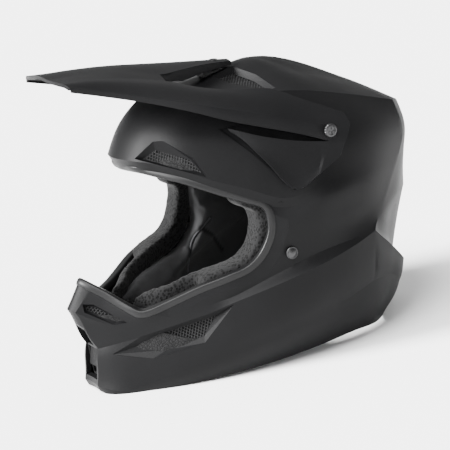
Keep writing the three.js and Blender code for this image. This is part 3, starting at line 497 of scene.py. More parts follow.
def matt_lacquer(name, dark, light, rough):
    """Matt black paint: a fine orange-peel grain, faint cloudiness and a few soft rub marks."""
    board = Board(name)
    cloud = board.noise(9.0, 3.0)
    grain = board.noise(1500.0, 2.0)
    peel = board.noise(420.0, 2.0)
    rubs = board.ramp(board.noise(38.0, 6.0, 0.7), 0.56, 0.74)
    colour = board.blend(board.ramp(cloud * 0.7 + grain * 0.3, 0.3, 0.7), dark, light)
    roughness = rough + 0.05 * cloud - 0.05 * rubs + 0.08 * grain
    return board.surface(Base_Color=colour, Roughness=roughness, Specular_IOR_Level=0.07,
                         Normal=board.relief(grain * 0.8 + peel * 0.2, 0.00022, 0.7))


def satin_rubber(name):
    board = Board(name)
    cloud = board.noise(14.0, 3.0)
    pores = board.noise(1500.0, 2.0)
    return board.surface(Base_Color=board.blend(cloud, (0.003, 0.003, 0.0032), (0.006, 0.006, 0.0062)),
                         Roughness=0.36 + 0.12 * cloud, Specular_IOR_Level=0.16,
                         Normal=board.relief(pores, 0.00005, 0.4))


def moulded_plastic(name, tone, rough):
    board = Board(name)
    grain = board.noise(1800.0, 3.0)
    cloud = board.noise(20.0, 2.0)
    light = tuple(v * 1.5 for v in tone)
    return board.surface(Base_Color=board.blend(cloud, tone, light), Roughness=rough + 0.1 * cloud,
                         Specular_IOR_Level=0.16, Normal=board.relief(grain, 0.00005, 0.5))


def bead_foam(name):
    """Expanded foam: closed beads a few millimetres across."""
    board = Board(name)
    edges = board.cells(330.0, "DISTANCE_TO_EDGE")
    beads = board.ramp(edges, 0.0, 0.12)
    colour = board.blend(beads, (0.0012, 0.0012, 0.0013), (0.005, 0.005, 0.0052))
    return board.surface(Base_Color=colour, Roughness=0.75 - 0.15 * board.noise(30.0),
                         Specular_IOR_Level=0.12,
                         Normal=board.relief(beads, 0.0004, 0.7))


def liner_cloth(name):
    """Brushed knit, with open spacer knit where the band attribute is 1 and darker seams where seam is 1;
    the spacer knit's holes are painted near black, as painted shade inside them.
    """
    board = Board(name)
    band = board.add("ShaderNodeAttribute", {"attribute_name": "knit_band"}, {}, 2)
    seam = board.add("ShaderNodeAttribute", {"attribute_name": "seam"}, {}, 2)
    holes = board.cells(400.0)
    open_knit = 1 - board.ramp(holes, 0.34, 0.55)
    fuzz = board.noise(1700.0, 3.0, 0.7)
    worn = board.noise(30.0, 4.0)
    brushed = board.blend(fuzz * 0.6 + worn * 0.4, (0.010, 0.010, 0.0105), (0.042, 0.042, 0.043))
    # The spacer knit's holes are painted near black: painted shade inside the holes.
    spacer = board.blend(open_knit, (0.0062, 0.0062, 0.0064), (0.0004, 0.0004, 0.0004))
    colour = board.blend(seam, board.blend(band, brushed, spacer), (0.002, 0.002, 0.0025))
    height = fuzz * (0.5 - 0.5 * band) - open_knit * band * 0.9
    return board.surface(Base_Color=colour, Roughness=0.85 + 0.1 * fuzz,
                         Specular_IOR_Level=0.1, Sheen_Weight=0.05, Sheen_Roughness=0.5,
                         Normal=board.relief(height, 0.0005, 0.7))


def piping_cloth(name):
    board = Board(name)
    twist = board.noise(900.0, 2.0)
    return board.surface(Base_Color=board.blend(twist, (0.02, 0.02, 0.022), (0.06, 0.06, 0.064)),
                         Roughness=0.6, Specular_IOR_Level=0.15, Sheen_Weight=0.06,
                         Normal=board.relief(twist, 0.0002, 0.5))


def strap_weave(name):
    """Ribbed webbing with a fine cross weave."""
    board = Board(name)
    where = board.place()
    ribs = board.add("ShaderNodeTexWave", {"bands_direction": "Y"}, {"Vector": where, "Scale": 130.0})
    picks = board.add("ShaderNodeTexWave", {"bands_direction": "DIAGONAL"},
                      {"Vector": where, "Scale": 260.0})
    worn = board.noise(60.0, 4.0)
    colour = board.blend(ribs * 0.5 + worn * 0.5, (0.005, 0.005, 0.0055), (0.022, 0.022, 0.024))
    return board.surface(Base_Color=colour, Roughness=0.72 + 0.15 * worn,
                         Specular_IOR_Level=0.15, Sheen_Weight=0.06,
                         Normal=board.relief(ribs * 0.6 + picks * 0.4, 0.0003, 0.8))


def worked_metal(name, tone, rough, lines=600.0):
    board = Board(name)
    scratch = board.noise(lines, 5.0, 0.8)
    cloud = board.noise(60.0, 3.0)
    dark = tuple(v * 0.75 for v in tone)
    return board.surface(Base_Color=board.blend(cloud, dark, tone), Metallic=1.0,
                         Roughness=rough + 0.16 * scratch + 0.08 * cloud,
                         Normal=board.relief(scratch, 0.00003, 0.4))


def seamless_paper(name):
    board = Board(name)
    fibre = board.noise(300.0, 3.0)
    return board.surface(Base_Color=board.blend(fibre, (0.93, 0.93, 0.93), (0.95, 0.95, 0.95)),
                         Roughness=0.9)


LACQUER = matt_lacquer("shell_lacquer", (0.0022, 0.0022, 0.0024), (0.0045, 0.0045, 0.0048), 0.40)
PEAK_FINISH = matt_lacquer("peak_plastic", (0.0028, 0.0028, 0.003), (0.0058, 0.0058, 0.0062), 0.40)
RUBBER = satin_rubber("trim_rubber")
VENT_PLASTIC = moulded_plastic("vent_plastic", (0.004, 0.004, 0.0042), 0.45)
GRILLE = moulded_plastic("grille_wire", (0.010, 0.010, 0.0103), 0.38)
FOAM_BEADS = bead_foam("impact_foam")
CLOTH = liner_cloth("liner_knit")
PIPING = piping_cloth("piping")
WEBBING = strap_weave("webbing")
STRAP_SLEEVE = piping_cloth("strap_sleeve_cloth")
STEEL = worked_metal("satin_steel", (0.30, 0.30, 0.31), 0.30)
DARK_STEEL = worked_metal("dark_steel", (0.045, 0.045, 0.046), 0.30)
BRASS = worked_metal("insert_brass", (0.45, 0.33, 0.13), 0.3)


def dress(piece, finish, body="helmet", stands_for=()):
    """Gives a piece its finish and the body it moves with, and hides the pieces it stands for."""
    piece.data.materials.clear()
    piece.data.materials.append(finish)
    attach(piece, body)
    if stands_for:
        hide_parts(*stands_for)
    return piece


# ---- Outlines seen from the side ----
AHEAD = -260
EYE_LOW = [(-181, 102), (-176, 97), (-169, 91), (-161, 82), (-151, 71.5)]
EYE_REST = [(-151, 71.5), (-140, 74), (-124, 80), (-106, 87), (-81, 93), (-64, 97), (-53, 104.5),
    (-45, 116), (-40, 131), (-39, 140), (-41, 147.5)]
EYE_HIGH = [(-41, 147.5), (-60, 157), (-80, 168), (-100, 179.5), (-112, 185), (-118, 187.5),
    (-124, 189)]
eye_edge = np.concatenate([smooth_through(EYE_LOW, 4)[:-1], smooth_through(EYE_REST, 4)[:-1],
                           smooth_through(EYE_HIGH, 4)])
EYEPORT = [(AHEAD, 104), *eye_edge, (AHEAD, 189)]
CHEEK_AREA = [(-143, 62), (-120, 50), (-90, 42), (-40, 36), (10, 40), (34, 58), (40, 90), (30, 128),
    (0, 146), (-30, 150), (-48, 148), (-42, 131), (-48, 116), (-56, 106), (-66, 100), (-84, 96),
    (-108, 90), (-126, 83), (-141, 77)]
NECK_AREA = [(10, -10), (180, -10), (180, 56), (60, 60), (44, 40), (30, 30), (10, 28)]
CAP_AREA = [(AHEAD, 168), (-60, 166), (-20, 160), (8, 156), (38, 140), (54, 110), (180, 100),
    (180, 300), (AHEAD, 300)]

surface_grid = shell_grid(12, 10)
middle_grid = shell_grid(4, 3)


def surface_tree(grid):
    columns, rows = grid.shape[:2]
    c, r = np.meshgrid(np.arange(columns), np.arange(rows - 1), indexing="ij")
    d = (c + 1) % columns
    faces = np.stack([c * rows + r, d * rows + r, d * rows + r + 1, c * rows + r + 1], -1).reshape(-1, 4)
    return BVHTree.FromPolygons(grid.reshape(-1, 3).tolist(), faces.tolist())


SURFACE = surface_tree(surface_grid)


def on_side(y, z):
    """The left side of the shell at a pattern (y, z): the point and its normal, in pattern mm."""
    point, normal, _, _ = SURFACE.ray_cast(Vector((300, y, z)), Vector((-1, 0, 0)))
    if point is None:
        return None, None
    return np.array(point), np.array(normal if normal.x > 0 else -normal)


# ---- Shell ----
# Each scoop: its mouth and its sunken grille, as seen along `out`, and how deep the grille lies.
SCOOPS = {
    "brow_vent": dict(mouth=[(28, -122, 200), (39, -107, 213), (47, -101, 213), (70, -86, 197),
            (79, -81, 180)],
        grille=[(34, -117, 199.5), (42, -108, 206), (66, -89, 196), (74, -84, 184.5)],
        out=(0.68, -0.65, 0.34), depth=4.5),
    "chin_vent": dict(mouth=[(25, -173, 36), (44, -151, 50), (74, -111, 60), (93, -82, 69),
            (78, -108, 39), (52, -148, 30)],
        grille=[(43, -151, 42), (57, -136, 50), (83, -98, 60), (76, -109, 44), (58, -136, 36)],
        out=(0.8, -0.6, 0.05), depth=5),
    "chin_slit": dict(mouth=[(11, -187, 83), (18, -180, 82), (39, -160, 64), (31, -169, 63),
            (13, -187, 76)],
        grille=[(13, -186, 81), (18, -180, 79), (35, -163, 65.5), (30, -168, 66), (14, -186, 77)],
        out=(0.72, -0.66, 0.2), depth=3.5),
    "crown_vent": dict(mouth=[(9, -28, 252), (9, -6, 255), (36, 2, 249), (66, 4, 240), (69, -8, 238),
            (38, -24, 246)],
        grille=[(13, -22, 252), (13, -9, 254), (38, -3, 248), (62, -1, 240), (62, -7, 239),
            (36, -18, 247)],
        out=(0.22, -0.1, 0.97), depth=5),
    "rear_vent": dict(mouth=[(25, 140, 113), (56, 131, 117), (52, 131, 99), (23, 140, 95)],
        grille=[(29, 139, 110), (52, 132, 113), (49, 132, 102), (27, 139, 99)],
        out=(0.4, 0.91, 0.0), depth=5),
}
MOUTH_NOTCH = [(-12, -200, 12), (12, -200, 12), (12.5, -200, 41), (-12.5, -200, 41), (8, -200, 74),
    (-8, -200, 74), (-11, -168, 15), (11, -168, 15), (11, -170, 38), (-11, -170, 38)]
MOUTH_GRILLE = [(-11, -176, 14), (11, -176, 14), (11, -177, 39), (-11, -177, 39)]


def on_shell(point, out):
    """Where a line along `out` through a point meets the surface."""
    step = Vector(out).normalized()
    hit, _, _, _ = SURFACE.ray_cast(Vector(point) + step * 60, -step)
    return np.array(hit if hit is not None else point)


def spread(points, amount, out):
    """Points moved away from their middle, square to `out`."""
    points = np.array(points, float)
    out = np.array(out) / np.linalg.norm(out)
    away = points - points.mean(0)
    away -= np.outer(away @ out, out)
    return points + amount * away / np.linalg.norm(away, axis=1, keepdims=True)


def scoop_levels(scoop):
    """The scoop's mouth and grille corners on the surface and at its floor, in pattern mm."""
    out = np.array(scoop["out"]) / np.linalg.norm(scoop["out"])
    mouth = np.array([on_shell(p, out) for p in scoop["mouth"]])
    floor = np.array([on_shell(p, out) for p in scoop["grille"]]) - scoop["depth"] * out
    return out, mouth, floor


def cut_scoop(shell, scoop, flip):
    """Adds the scoop's thin walls behind the surface, then hollows it and opens its floor."""
    out, mouth, floor = scoop_levels(scoop)
    walls = np.concatenate([spread(mouth, 1.5, out) - 1.2 * out, spread(floor, 3, out) - 1.6 * out])
    carve(shell, hull(walls * flip), how="UNION")
    carve(shell, hull(np.concatenate([mouth + 5 * out, mouth - 0.2 * out, spread(floor, 1.2, out)]) * flip))
    carve(shell, hull(np.concatenate([floor + 2 * out, floor - 8 * out]) * flip))


def eyeport_path():
    """The edge of the eyeport all the way round, with the surface's normal at each point."""
    path, normals = [], []
    for y, z in even(np.pad(eye_edge, ((0, 0), (0, 1))), 2.5)[:, :2]:
        point, normal = on_side(y, z)
        if point is not None and point[0] > 4:
            path.append(point)
            normals.append(normal)
    flip = np.array([-1, 1, 1])
    path = np.concatenate([[(0, -181.5, 102.5)], path, [(0, -124.2, 189.2)], np.array(path[::-1]) * flip])
    normals = np.concatenate([[(0, -0.75, 0.65)], normals, [(0, -0.95, 0.3)],
                              np.array(normals[::-1]) * flip])
    both = np.concatenate([path, normals], 1)
    run = np.linalg.norm(np.diff(np.concatenate([path, path[:1]]), axis=0), axis=1)
    at = np.concatenate([[0], np.cumsum(run)])
    places = np.linspace(0, at[-1], 300, endpoint=False)
    wrapped = np.concatenate([both, both[:1]])
    both = np.stack([np.interp(places, at, wrapped[:, k]) for k in range(6)], 1)
    for turn in range(8):
        both[:, 3:] = (np.roll(both[:, 3:], 1, 0) + 2 * both[:, 3:] + np.roll(both[:, 3:], -1, 0)) / 4
        if turn < 3:
            both[:, :3] = (np.roll(both[:, :3], 1, 0) + 2 * both[:, :3] + np.roll(both[:, :3], -1, 0)) / 4
    return both[:, :3], unit(both[:, 3:])


def land_share(path):
    """How much of the chamfer's depth each point of the eyeport's edge has: it fades out at both ends."""
    return np.clip((144 - path[:, 2]) / 16, 0, 1) * np.clip((path[:, 1] + 152) / 18, 0, 1)


def chamfer_tool(side):
    """A wedge that slopes the shell down to the eyeport, along one side."""
    path, normals = eyeport_path()
    share = land_share(path)
    keep = (share > 0) & (path[:, 0] * side > 0)
    path, normals = path[keep] + LAND_DEPTH * (1 - share[keep, None]) * normals[keep], normals[keep]
    fall = LAND_DEPTH / LAND_WIDTH
    section = [(-LAND_WIDTH, 0.1), (8, 0.1 - fall * (LAND_WIDTH + 8)), (8, 8), (-LAND_WIDTH, 8)]
    return sweep("tool", put(path), section, normals)


# The part of the shell's side that a peak arm covers, as pattern (y, z).
ARM_AREA = [(-57, 215), (-36.5, 188), (-15, 158), (6, 167), (27, 177), (37, 190), (44, 199), (36, 206),
    (0, 212), (-40, 216)]


def arm_recess():
    """The shallow seats in which the peak's arms lie."""
    seats = layer_piece("tool", surface_grid, -3, ARM_SEAT)
    return carve(seats, prism(grown(ARM_AREA, ARM_CLEARANCE)), how="INTERSECT")


def make_shell():
    shell = layer_piece("shell_moulding", surface_grid, 0, SHOWN_WALL)
    for scoop in SCOOPS.values():
        for side in (1, -1):
            cut_scoop(shell, scoop, np.array([side, 1, 1]))
    carve(shell, hull(MOUTH_NOTCH))
    for side in (1, -1):
        carve(shell, chamfer_tool(side))
    carve(shell, prism(EYEPORT), arm_recess())
    carve(shell, block((-300, -300, -50), (300, 300, FOOT_FLAT)))
    for y, z, bore in ((*PIVOT, 5.4), (*RIVET, 2.9)):
        carve(shell, rod((-300, y, z), (300, y, z), bore))
    shade(shell, 12)
    return dress(shell, LACQUER, stands_for=["outer_shell"])


def grille(name, corners, out, pitch=2.5, wire=0.42):
    """A woven panel: two sets of wires cut to the corners' outline."""
    corners = np.asarray(corners, float)
    middle = corners.mean(0)
    side = corners[1] - corners[0]
    side -= out * (side @ out)
    side /= np.linalg.norm(side)
    other = np.cross(out, side)
    flat = np.stack([(corners - middle) @ side, (corners - middle) @ other], 1)
    level = (corners - middle) @ out
    slope, _, _, _ = np.linalg.lstsq(flat, level, rcond=None)
    points, faces = [], []
    for turn, rise in ((52, 0.2), (-52, -0.2)):
        along = np.array([math.cos(math.radians(turn)), math.sin(math.radians(turn))])
        across = np.array([-along[1], along[0]])
        reach = np.abs(flat @ across).max()
        for k in np.arange(-reach + pitch / 2, reach, pitch):
            hits = []
            for a, b in zip(flat, np.roll(flat, -1, 0)):
                u, v = a @ across - k, b @ across - k
                if u * v < 0:
                    hits.append(a + (b - a) * u / (u - v))
            if len(hits) != 2:
                continue
            start = len(points)
            for h in hits:
                centre = middle + side * h[0] + other * h[1] + out * (h @ slope + rise)
                edge = side * across[0] + other * across[1]
                points += [centre + wire * (edge * math.cos(t) + out * math.sin(t))
                           for t in np.arange(6) * math.pi / 3]
            faces += [(start + i, start + (i + 1) % 6, start + 6 + (i + 1) % 6, start + 6 + i)
                      for i in range(6)]
            faces += [[start + i for i in range(6)], [start + 6 + i for i in range(6)]]
    return shade(new_piece(name, put(points), faces, merge=1e-8), 50)


def make_grilles():
    for kind, scoop in SCOOPS.items():
        out, _, floor = scoop_levels(scoop)
        for side, hand in ((1, "left"), (-1, "right")):
            flip = np.array([side, 1, 1])
            panel = grille(f"{kind}_grille_{hand}", (spread(floor, 0.8, out) - 0.4 * out) * flip, out * flip)
            dress(panel, GRILLE, stands_for=[f"{kind}_mesh_{hand}"])
            behind = spread(floor, 3, out)
            slab = np.concatenate([behind - 2.6 * out, behind - 4.6 * out]) * flip
            backing = hull(slab, f"{kind}_filter_{hand}")
            dress(shade(backing, 30), FOAM_BEADS)
    panel = grille("mouth_grille", MOUTH_GRILLE, np.array([0.0, -1, 0]), pitch=2.8)
    dress(panel, GRILLE, stands_for=["mouth_vent_mesh"])
    corners = [(-12, -178, 12.5), (12, -178, 12.5), (12, -179, 40.5), (-12, -179, 40.5)]
    frame_path = even(put(smooth_corners(corners, 2.0)), 1.5 * MM, closed=True)
    rim = sweep("mouth_vent_surround", frame_path, rounded_box(2.4, 3.2, 0.7), (0, -1, 0), closed=True)
    dress(shade(rim, 50), VENT_PLASTIC, stands_for=["mouth_vent_frame"])


make_shell()
make_grilles()


# ---- Eyeport trim and rim bead ----
def make_eyeport_trim():
    """A rubber channel pushed over the shell's edge. Section: (towards the opening, out of the shell)."""
    path, normals = eyeport_path()
    path = path - normals * LAND_DEPTH * land_share(path)[:, None]
    inner = -SHOWN_WALL - 0.2
    section = [(-TRIM_LIP, 0.1), (-TRIM_LIP + 0.1, 0.7), (-TRIM_LIP + 0.9, 1.3), (-2, 1.55), (0.4, 1.4),
               (1.5, 0.7), (1.8, -0.5), (1.8, inner + 0.2), (1.3, inner - 1), (0, inner - 1.6),
               (-3.4, inner - 1.6), (-3.6, inner - 0.2), (0, inner), (0, 0.1)]
    trim = sweep("eyeport_rubber", put(path), section, normals, closed=True)
    dress(shade(trim, 50), RUBBER, stands_for=["eyeport_trim"])


def make_rim_bead():
    """A soft bead inside the rim of the head opening."""
    edge = inward(surface_grid[:, 0], WALL)
    middle = np.array([0, (SHELL_LINES["rim_inner"][0][1] + SHELL_LINES["rim_inner"][-1][1]) / 2, 0])
    inside = unit((middle - edge) * (1, 1, 0))
    path = even(put(edge + inside * (GAP + 2) + (0, 0, 1.3)), 3 * MM, closed=True)
    bead = sweep("rim_bead", path, rounded_box(4, 6.2, 1.7), (0, 0, 1), closed=True)
    dress(shade(bead, 60), RUBBER, stands_for=["lower_rim_trim"])


make_eyeport_trim()
make_rim_bead()


# ---- Peak ----
# Lines of the left half from the middle outwards, each from the front edge to the back of the arm.
PEAK_LINES = [
    [(0, -184, 285), (0, -154, 283), (0, -118, 279), (0, -88, 274), (0, -62, 269.5), (0, -34, 265),
     (0, -6, 260.5), (0, 14, 257), (0, 34, 252)],
    [(20, -183, 282.5), (20, -153, 280.5), (22, -118, 275.5), (30, -86, 266.5), (22, -62, 264.5),
     (13, -34, 262.5), (8, -6, 259), (8, 14, 256), (8, 34, 251)],
    [(40, -180, 280.5), (40, -150, 277), (41, -118, 270.5), (45, -88, 262.5), (61, -61, 252),
     (69, -34, 245), (74, -6, 240), (89, 16, 227), (105, 45, 210)],
    [(50, -177, 277), (59, -153, 269.5), (73, -121, 258.5), (86, -88, 247), (93, -62, 237),
     (99, -32, 226), (105, -4, 215), (110.5, 20, 206), (114.5, 45, 201)],
    [(50.5, -177, 273), (59.5, -153, 265), (73.5, -121, 253.5), (87, -88, 239.5), (95, -62, 227),
     (101, -33, 215), (108.5, -1, 202), (114, 22, 191), (118, 37, 190)],
    [(50, -170, 262), (59, -150, 255), (72, -121, 243), (86, -88, 228), (91, -60, 219),
     (99, -33.5, 207), (108, -1, 196), (114, 22, 191), (118, 37, 190)],
    [(50, -170, 260), (59, -150, 253), (71, -121, 241), (82, -88, 227), (89, -57, 215),
     (103, -36.5, 188), (116.5, -15, 158), (119, 6, 167), (120.5, 27, 177)],
]
LINE_EDGE = [0, 0.5, 1, 1, 1, 1, 1]
TONGUE_END, OPENING_START, FACET_START, GROOVE_END = 6, 3, 4, 7


def peak_cell(line, station):
    """Whether the peak is solid between two lines and two stations."""
    if line == 0:
        return station < TONGUE_END
    if line == 1:
        return station < OPENING_START
    return line != 4 and (line < 5 or station >= FACET_START)


def peak_faces(columns, rows, along, across, half):
    faces = []
    for c in range(columns - 1):
        for row in range(rows - 1):
            cell = row // across
            line = cell - half if cell >= half else half - 1 - cell
            if peak_cell(line, c // along):
                here = c * rows + row
                faces.append((here, here + 1, here + rows + 1, here + rows))
    return faces


def make_peak(along=6, across=6):
    lines = np.array(PEAK_LINES, float)
    half = len(lines) - 1
    whole = np.concatenate([lines[:0:-1] * (-1, 1, 1), lines])
    off = np.abs(np.arange(len(whole)) - half)
    sharp_along = np.zeros(whole.shape[:2])
    sharp_along[np.isin(off, (4, 5)), GROOVE_END] = 1
    columns, _ = sample(whole.swapaxes(0, 1), sharp_along.T, along, 0, len(lines[0]) - 1)
    sharp_across = np.repeat(np.array(LINE_EDGE, float)[off][:, None], len(columns), 1)
    grid, _ = sample(columns.swapaxes(0, 1), sharp_across, across, 0, len(whole) - 1)
    grid = grid.swapaxes(0, 1)
    faces = peak_faces(*grid.shape[:2], along, across, half)
    peak = new_piece("peak_moulding", put(grid.reshape(-1, 3)), faces)
    form = bmesh.new()
    form.from_mesh(peak.data)
    bmesh.ops.delete(form, geom=[v for v in form.verts if not v.link_faces], context="VERTS")
    lowest = min(form.faces, key=lambda f: abs(f.calc_center_median().x) + 0.1 * f.calc_center_median().y)
    if lowest.normal.z < 0:
        bmesh.ops.reverse_faces(form, faces=form.faces)
    form.to_mesh(peak.data)
    form.free()
    thick = peak.modifiers.new("thickness", "SOLIDIFY")
    thick.thickness, thick.offset, thick.use_even_offset = PEAK_THICK * MM, -1, False
    edge = peak.modifiers.new("edges", "BEVEL")
    edge.width, edge.segments, edge.limit_method, edge.angle_limit = 0.7 * MM, 2, "ANGLE", math.radians(62)
    settle(peak)
    y, z = PIVOT
    carve_open(peak, rod((-300, y, z), (300, y, z), 3.4))
    shade(peak, 11)
    dress(peak, PEAK_FINISH, "peak", ["visor"])


def carve_open(piece, tool):
    """A cut in a piece that may not be watertight."""
    cut = piece.modifiers.new("carve", "BOOLEAN")
    cut.object, cut.operation, cut.solver = tool, "DIFFERENCE", "EXACT"
    settle(piece)
    bpy.data.objects.remove(tool)


def make_side_screws():
    """Quarter-turn screws with a knurled rim and a cross slot."""
    for side, hand in ((1, "left"), (-1, "right")):
        node = f"visor_side_screw_{hand}"
        low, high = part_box(node)
        outer = max(abs(low.x), abs(high.x)) / MM
        shank = outer - min(abs(low.x), abs(high.x)) / MM
        middle = (low + high) / 2
        base = Vector((side * (outer - 2.8) * MM, middle.y, middle.z))
        profile = [(0, 2.8 - shank), (3, 2.8 - shank), (3, 0), (5.6, 0), (6, 0.3), (6, 1.5), (5.5, 2.3),
                   (4.6, 2.7), (3.9, 2.8), (3.6, 2.2), (0, 2.1)]
        screw = turned(f"peak_screw_{hand}", profile, base, (side, 0, 0), 72)
        for point in screw.data.vertices:
            spoke = point.co - base
            spoke.x = 0
            if spoke.length > 5.3 * MM:
                notch = math.cos(24 * math.atan2(spoke.z, spoke.y)) > 0.2
                point.co -= spoke * (0.05 if notch else 0)
        for slot in ((1.6, 1.5, 6.4), (1.6, 6.4, 1.5)):
            carve_open(screw, block_at(base + Vector((side * 2.4 * MM, 0, 0)), slot))
        dress(shade(screw, 30), DARK_STEEL, f"side_screw_{hand}", [node])


def block_at(middle, size):
    """A box round a frame point, with its size in mm."""
    form = bmesh.new()
    bmesh.ops.create_cube(form, size=1)
    for v in form.verts:
        v.co = middle + v.co * Vector(size) * MM
    mesh = bpy.data.meshes.new("tool")
    form.to_mesh(mesh)
    form.free()
    return add_object("tool", mesh)


def make_centre_screw():
    low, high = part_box("visor_centre_screw")
    middle = (low + high) / 2
    top, foot = high.z / MM, low.z / MM
    profile = [(0, foot - top), (2, foot - top), (2, -1.9), (4.3, -1.9), (4.5, -1.6), (4.5, -1),
               (4.1, -0.4), (3, 0), (2, 0), (1.7, -1.2), (0, -1.3)]
    sunk = high.z - 2.6 * MM
    screw = turned("peak_middle_screw", profile, Vector((middle.x, middle.y, sunk)), (0, 0, 1), 48)
    dress(shade(screw, 35), DARK_STEEL, "centre_screw", ["visor_centre_screw"])


def make_rivets():
    """Domed strap rivets with a rolled rim."""
    for side, hand in ((1, "left"), (-1, "right")):
        node = f"strap_rivet_{hand}"
        low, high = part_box(node)
        outer = max(abs(low.x), abs(high.x))
        shank = (outer - min(abs(low.x), abs(high.x))) / MM
        middle = (low + high) / 2
        profile = [(0, 3 - shank), (3.9, 3 - shank), (3.9, 4 - shank), (2.5, 4 - shank), (2.5, 0),
                   (5.2, 0), (5.5, 0.3), (5.5, 0.9), (5.1, 1.4), (4.5, 1.35), (4.1, 1.6), (3.2, 2.3),
                   (1.9, 2.8), (0.8, 3), (0, 3)]
        base = Vector((side * (outer - 3 * MM), middle.y, middle.z))
        rivet = turned(f"rivet_{hand}", profile, base, (side, 0, 0), 56)
        dress(shade(rivet, 32), DARK_STEEL, stands_for=[node])


def make_spine():
    """Webs under both edges of the tongue, which make it a hollow spine."""
    corners = []
    for station, depth in ((3, 6), (4, 10), (5, 7), (6, 3.2)):
        x, y, z = PEAK_LINES[1][station]
        corners.append([(x + 0.1, y, z - 0.6), (x - 1.9, y, z - 0.6),
                        (x - 2.1, y, z - depth), (x - 0.1, y, z - depth)])
    for side, hand in ((1, "left"), (-1, "right")):
        flip = np.array([side, 1, 1])
        webs = [hull(np.array(a + b) * flip) for a, b in zip(corners, corners[1:])]
        spine = carve(webs[0], *webs[1:], how="UNION")
        spine.name = f"peak_spine_{hand}"
        dress(shade(spine, 20), PEAK_FINISH, "peak")


make_peak()
make_spine()
make_side_screws()
make_centre_screw()
make_rivets()


# ---- Padding ----
PAD_PRESSURE, CLOTH_FRAMES = 4.0, 20


def puff(piece, voxel, cap=6.0, rounds=3):
    """Fills a pad: remeshed, blown up as cloth, and held within `cap` mm of its cut shape."""
    remesh = piece.modifiers.new("weave", "REMESH")
    remesh.mode, remesh.voxel_size = "VOXEL", voxel * MM
    ease = piece.modifiers.new("ease", "SMOOTH")
    ease.iterations, ease.factor = rounds, 0.5
    settle(piece)
    flat = vertex_values(piece)
    cloth = piece.modifiers.new("cloth", "CLOTH")
    cloth.settings.quality = 4
    cloth.settings.use_pressure = True
    cloth.settings.uniform_pressure_force = PAD_PRESSURE
    cloth.settings.effector_weights.gravity = 0
    cloth.point_cache.frame_end = CLOTH_FRAMES
    for moment in range(1, CLOTH_FRAMES + 1):
        bpy.context.scene.frame_set(moment)
    settle(piece)
    bpy.context.scene.frame_set(1)
    move = vertex_values(piece) - flat
    far = np.maximum(np.linalg.norm(move, axis=1, keepdims=True) / (cap * MM), 1)
    move_vertices(piece, flat + move / far)
    finer = piece.modifiers.new("finer", "SUBSURF")
    finer.levels = finer.render_levels = 1
    settle(piece)
    return shade(piece, 80)


def pattern_points(piece):
    """A piece's vertices in pattern millimetres."""
    return vertex_values(piece) / MM - SHIFT


def sink(piece, amounts):
    """Moves each vertex under its surface by its amount in mm."""
    normals = vertex_values(piece, "normal")
    move_vertices(piece, vertex_values(piece) - normals * amounts[:, None] * MM)


def mark(piece, name, values):
    layer = piece.data.attributes.new(name, "FLOAT", "POINT")
    layer.data.foreach_set("value", np.asarray(values, np.float32))


def sew(piece, seam, depth, band=0, edge=0.3):
    """Marks a pad's seams and open knit, and sinks the seams by `depth` mm."""
    mark(piece, "knit_band", band + np.zeros(len(seam)))
    mark(piece, "seam", np.clip(seam * (1 + edge) - edge, 0, 1))
    sink(piece, depth * seam)


def edge_distance(y, z, outline):
    """How far each (y, z) is from an outline of points."""
    outline = np.asarray(outline, float)
    best = np.full(len(y), 1e9)
    for a, b in zip(outline[:-1], outline[1:]):
        run = b - a
        t = np.clip(((y - a[0]) * run[0] + (z - a[1]) * run[1]) / (run @ run), 0, 1)
        best = np.minimum(best, np.hypot(y - a[0] - t * run[0], z - a[1] - t * run[1]))
    return best


BAND = 9           # the open knit between the eyeport and a cheek pad
BAND_AHEAD = 6     # how far the knit stands into the eyeport


def strap_channel():
    half = 15
    tool = layer_piece("tool", middle_grid, -1, WALL + 19)
    beside_strap = block((-260, RIVET[0] - half, -20), (260, RIVET[0] + half, RIVET[1] + 16))
    return carve(tool, beside_strap, how="INTERSECT")


def pad_piece(name, shallow, deep, area, port):
    """A cut pad between two depths, clear of the strap and the breath guard."""
    pad = layer_piece(name, surface_grid[::2, ::2], shallow, deep)
    carve(pad, prism(area, 22, 260), how="INTERSECT")
    carve(pad, prism(port), strap_channel())
    guard = layer_piece("tool", middle_grid, 0, WALL + 4 * GAP + CHIN_FOAM + GUARD_THICK + 2)
    carve(guard, block((-260, -260, -20), (260, -98, 120)), how="INTERSECT")
    return carve(pad, guard)


def cheek_band():
    """The thinner pad of open knit that follows the eyeport's edge."""
    band = pad_piece("cheek_band_left", LINER_DEPTH + 1.5, LINER_DEPTH + CHEEK_PAD - 2,
                     grown(CHEEK_AREA, 8), grown(EYEPORT, -BAND_AHEAD))
    carve(band, prism(grown(EYEPORT, BAND + 3)), how="INTERSECT")
    puff(band, 2.6, cap=2.5, rounds=9)
    mark(band, "knit_band", np.ones(len(band.data.vertices)))
    mark(band, "seam", np.zeros(len(band.data.vertices)))
    return band


def cheek_cushion():
    """The main pad, set back behind the band, with sewn lines over its face."""
    pad = pad_piece("cheek_cushion_left", LINER_DEPTH + 12, LINER_DEPTH + CHEEK_PAD + 6,
                    grown(CHEEK_AREA, -2), grown(EYEPORT, BAND))
    puff(pad, 4.5)
    at = pattern_points(pad)
    seam = np.zeros(len(at))
    for line in CHEEK_SEAMS:
        seam = np.maximum(seam, np.exp(-(edge_distance(at[:, 1], at[:, 2], line) / 1.5) ** 2))
    sew(pad, seam, 1.8, edge=0.2)
    return pad


# Sewn lines on a cheek pad's face, as pattern (y, z); the first is piped.
CHEEK_SEAMS = [smooth_through([(-19, 106), (-31, 99), (-42, 91), (-48, 82), (-51, 73), (-52, 62)], 4),
               smooth_through([(-31, 100), (-18, 88), (-8, 71)], 4)]


def mirror_copy(piece, name):
    twin = add_object(name, piece.data.copy())
    move_vertices(twin, vertex_values(twin) * (-1, 1, 1))
    twin.data.flip_normals()
    return twin


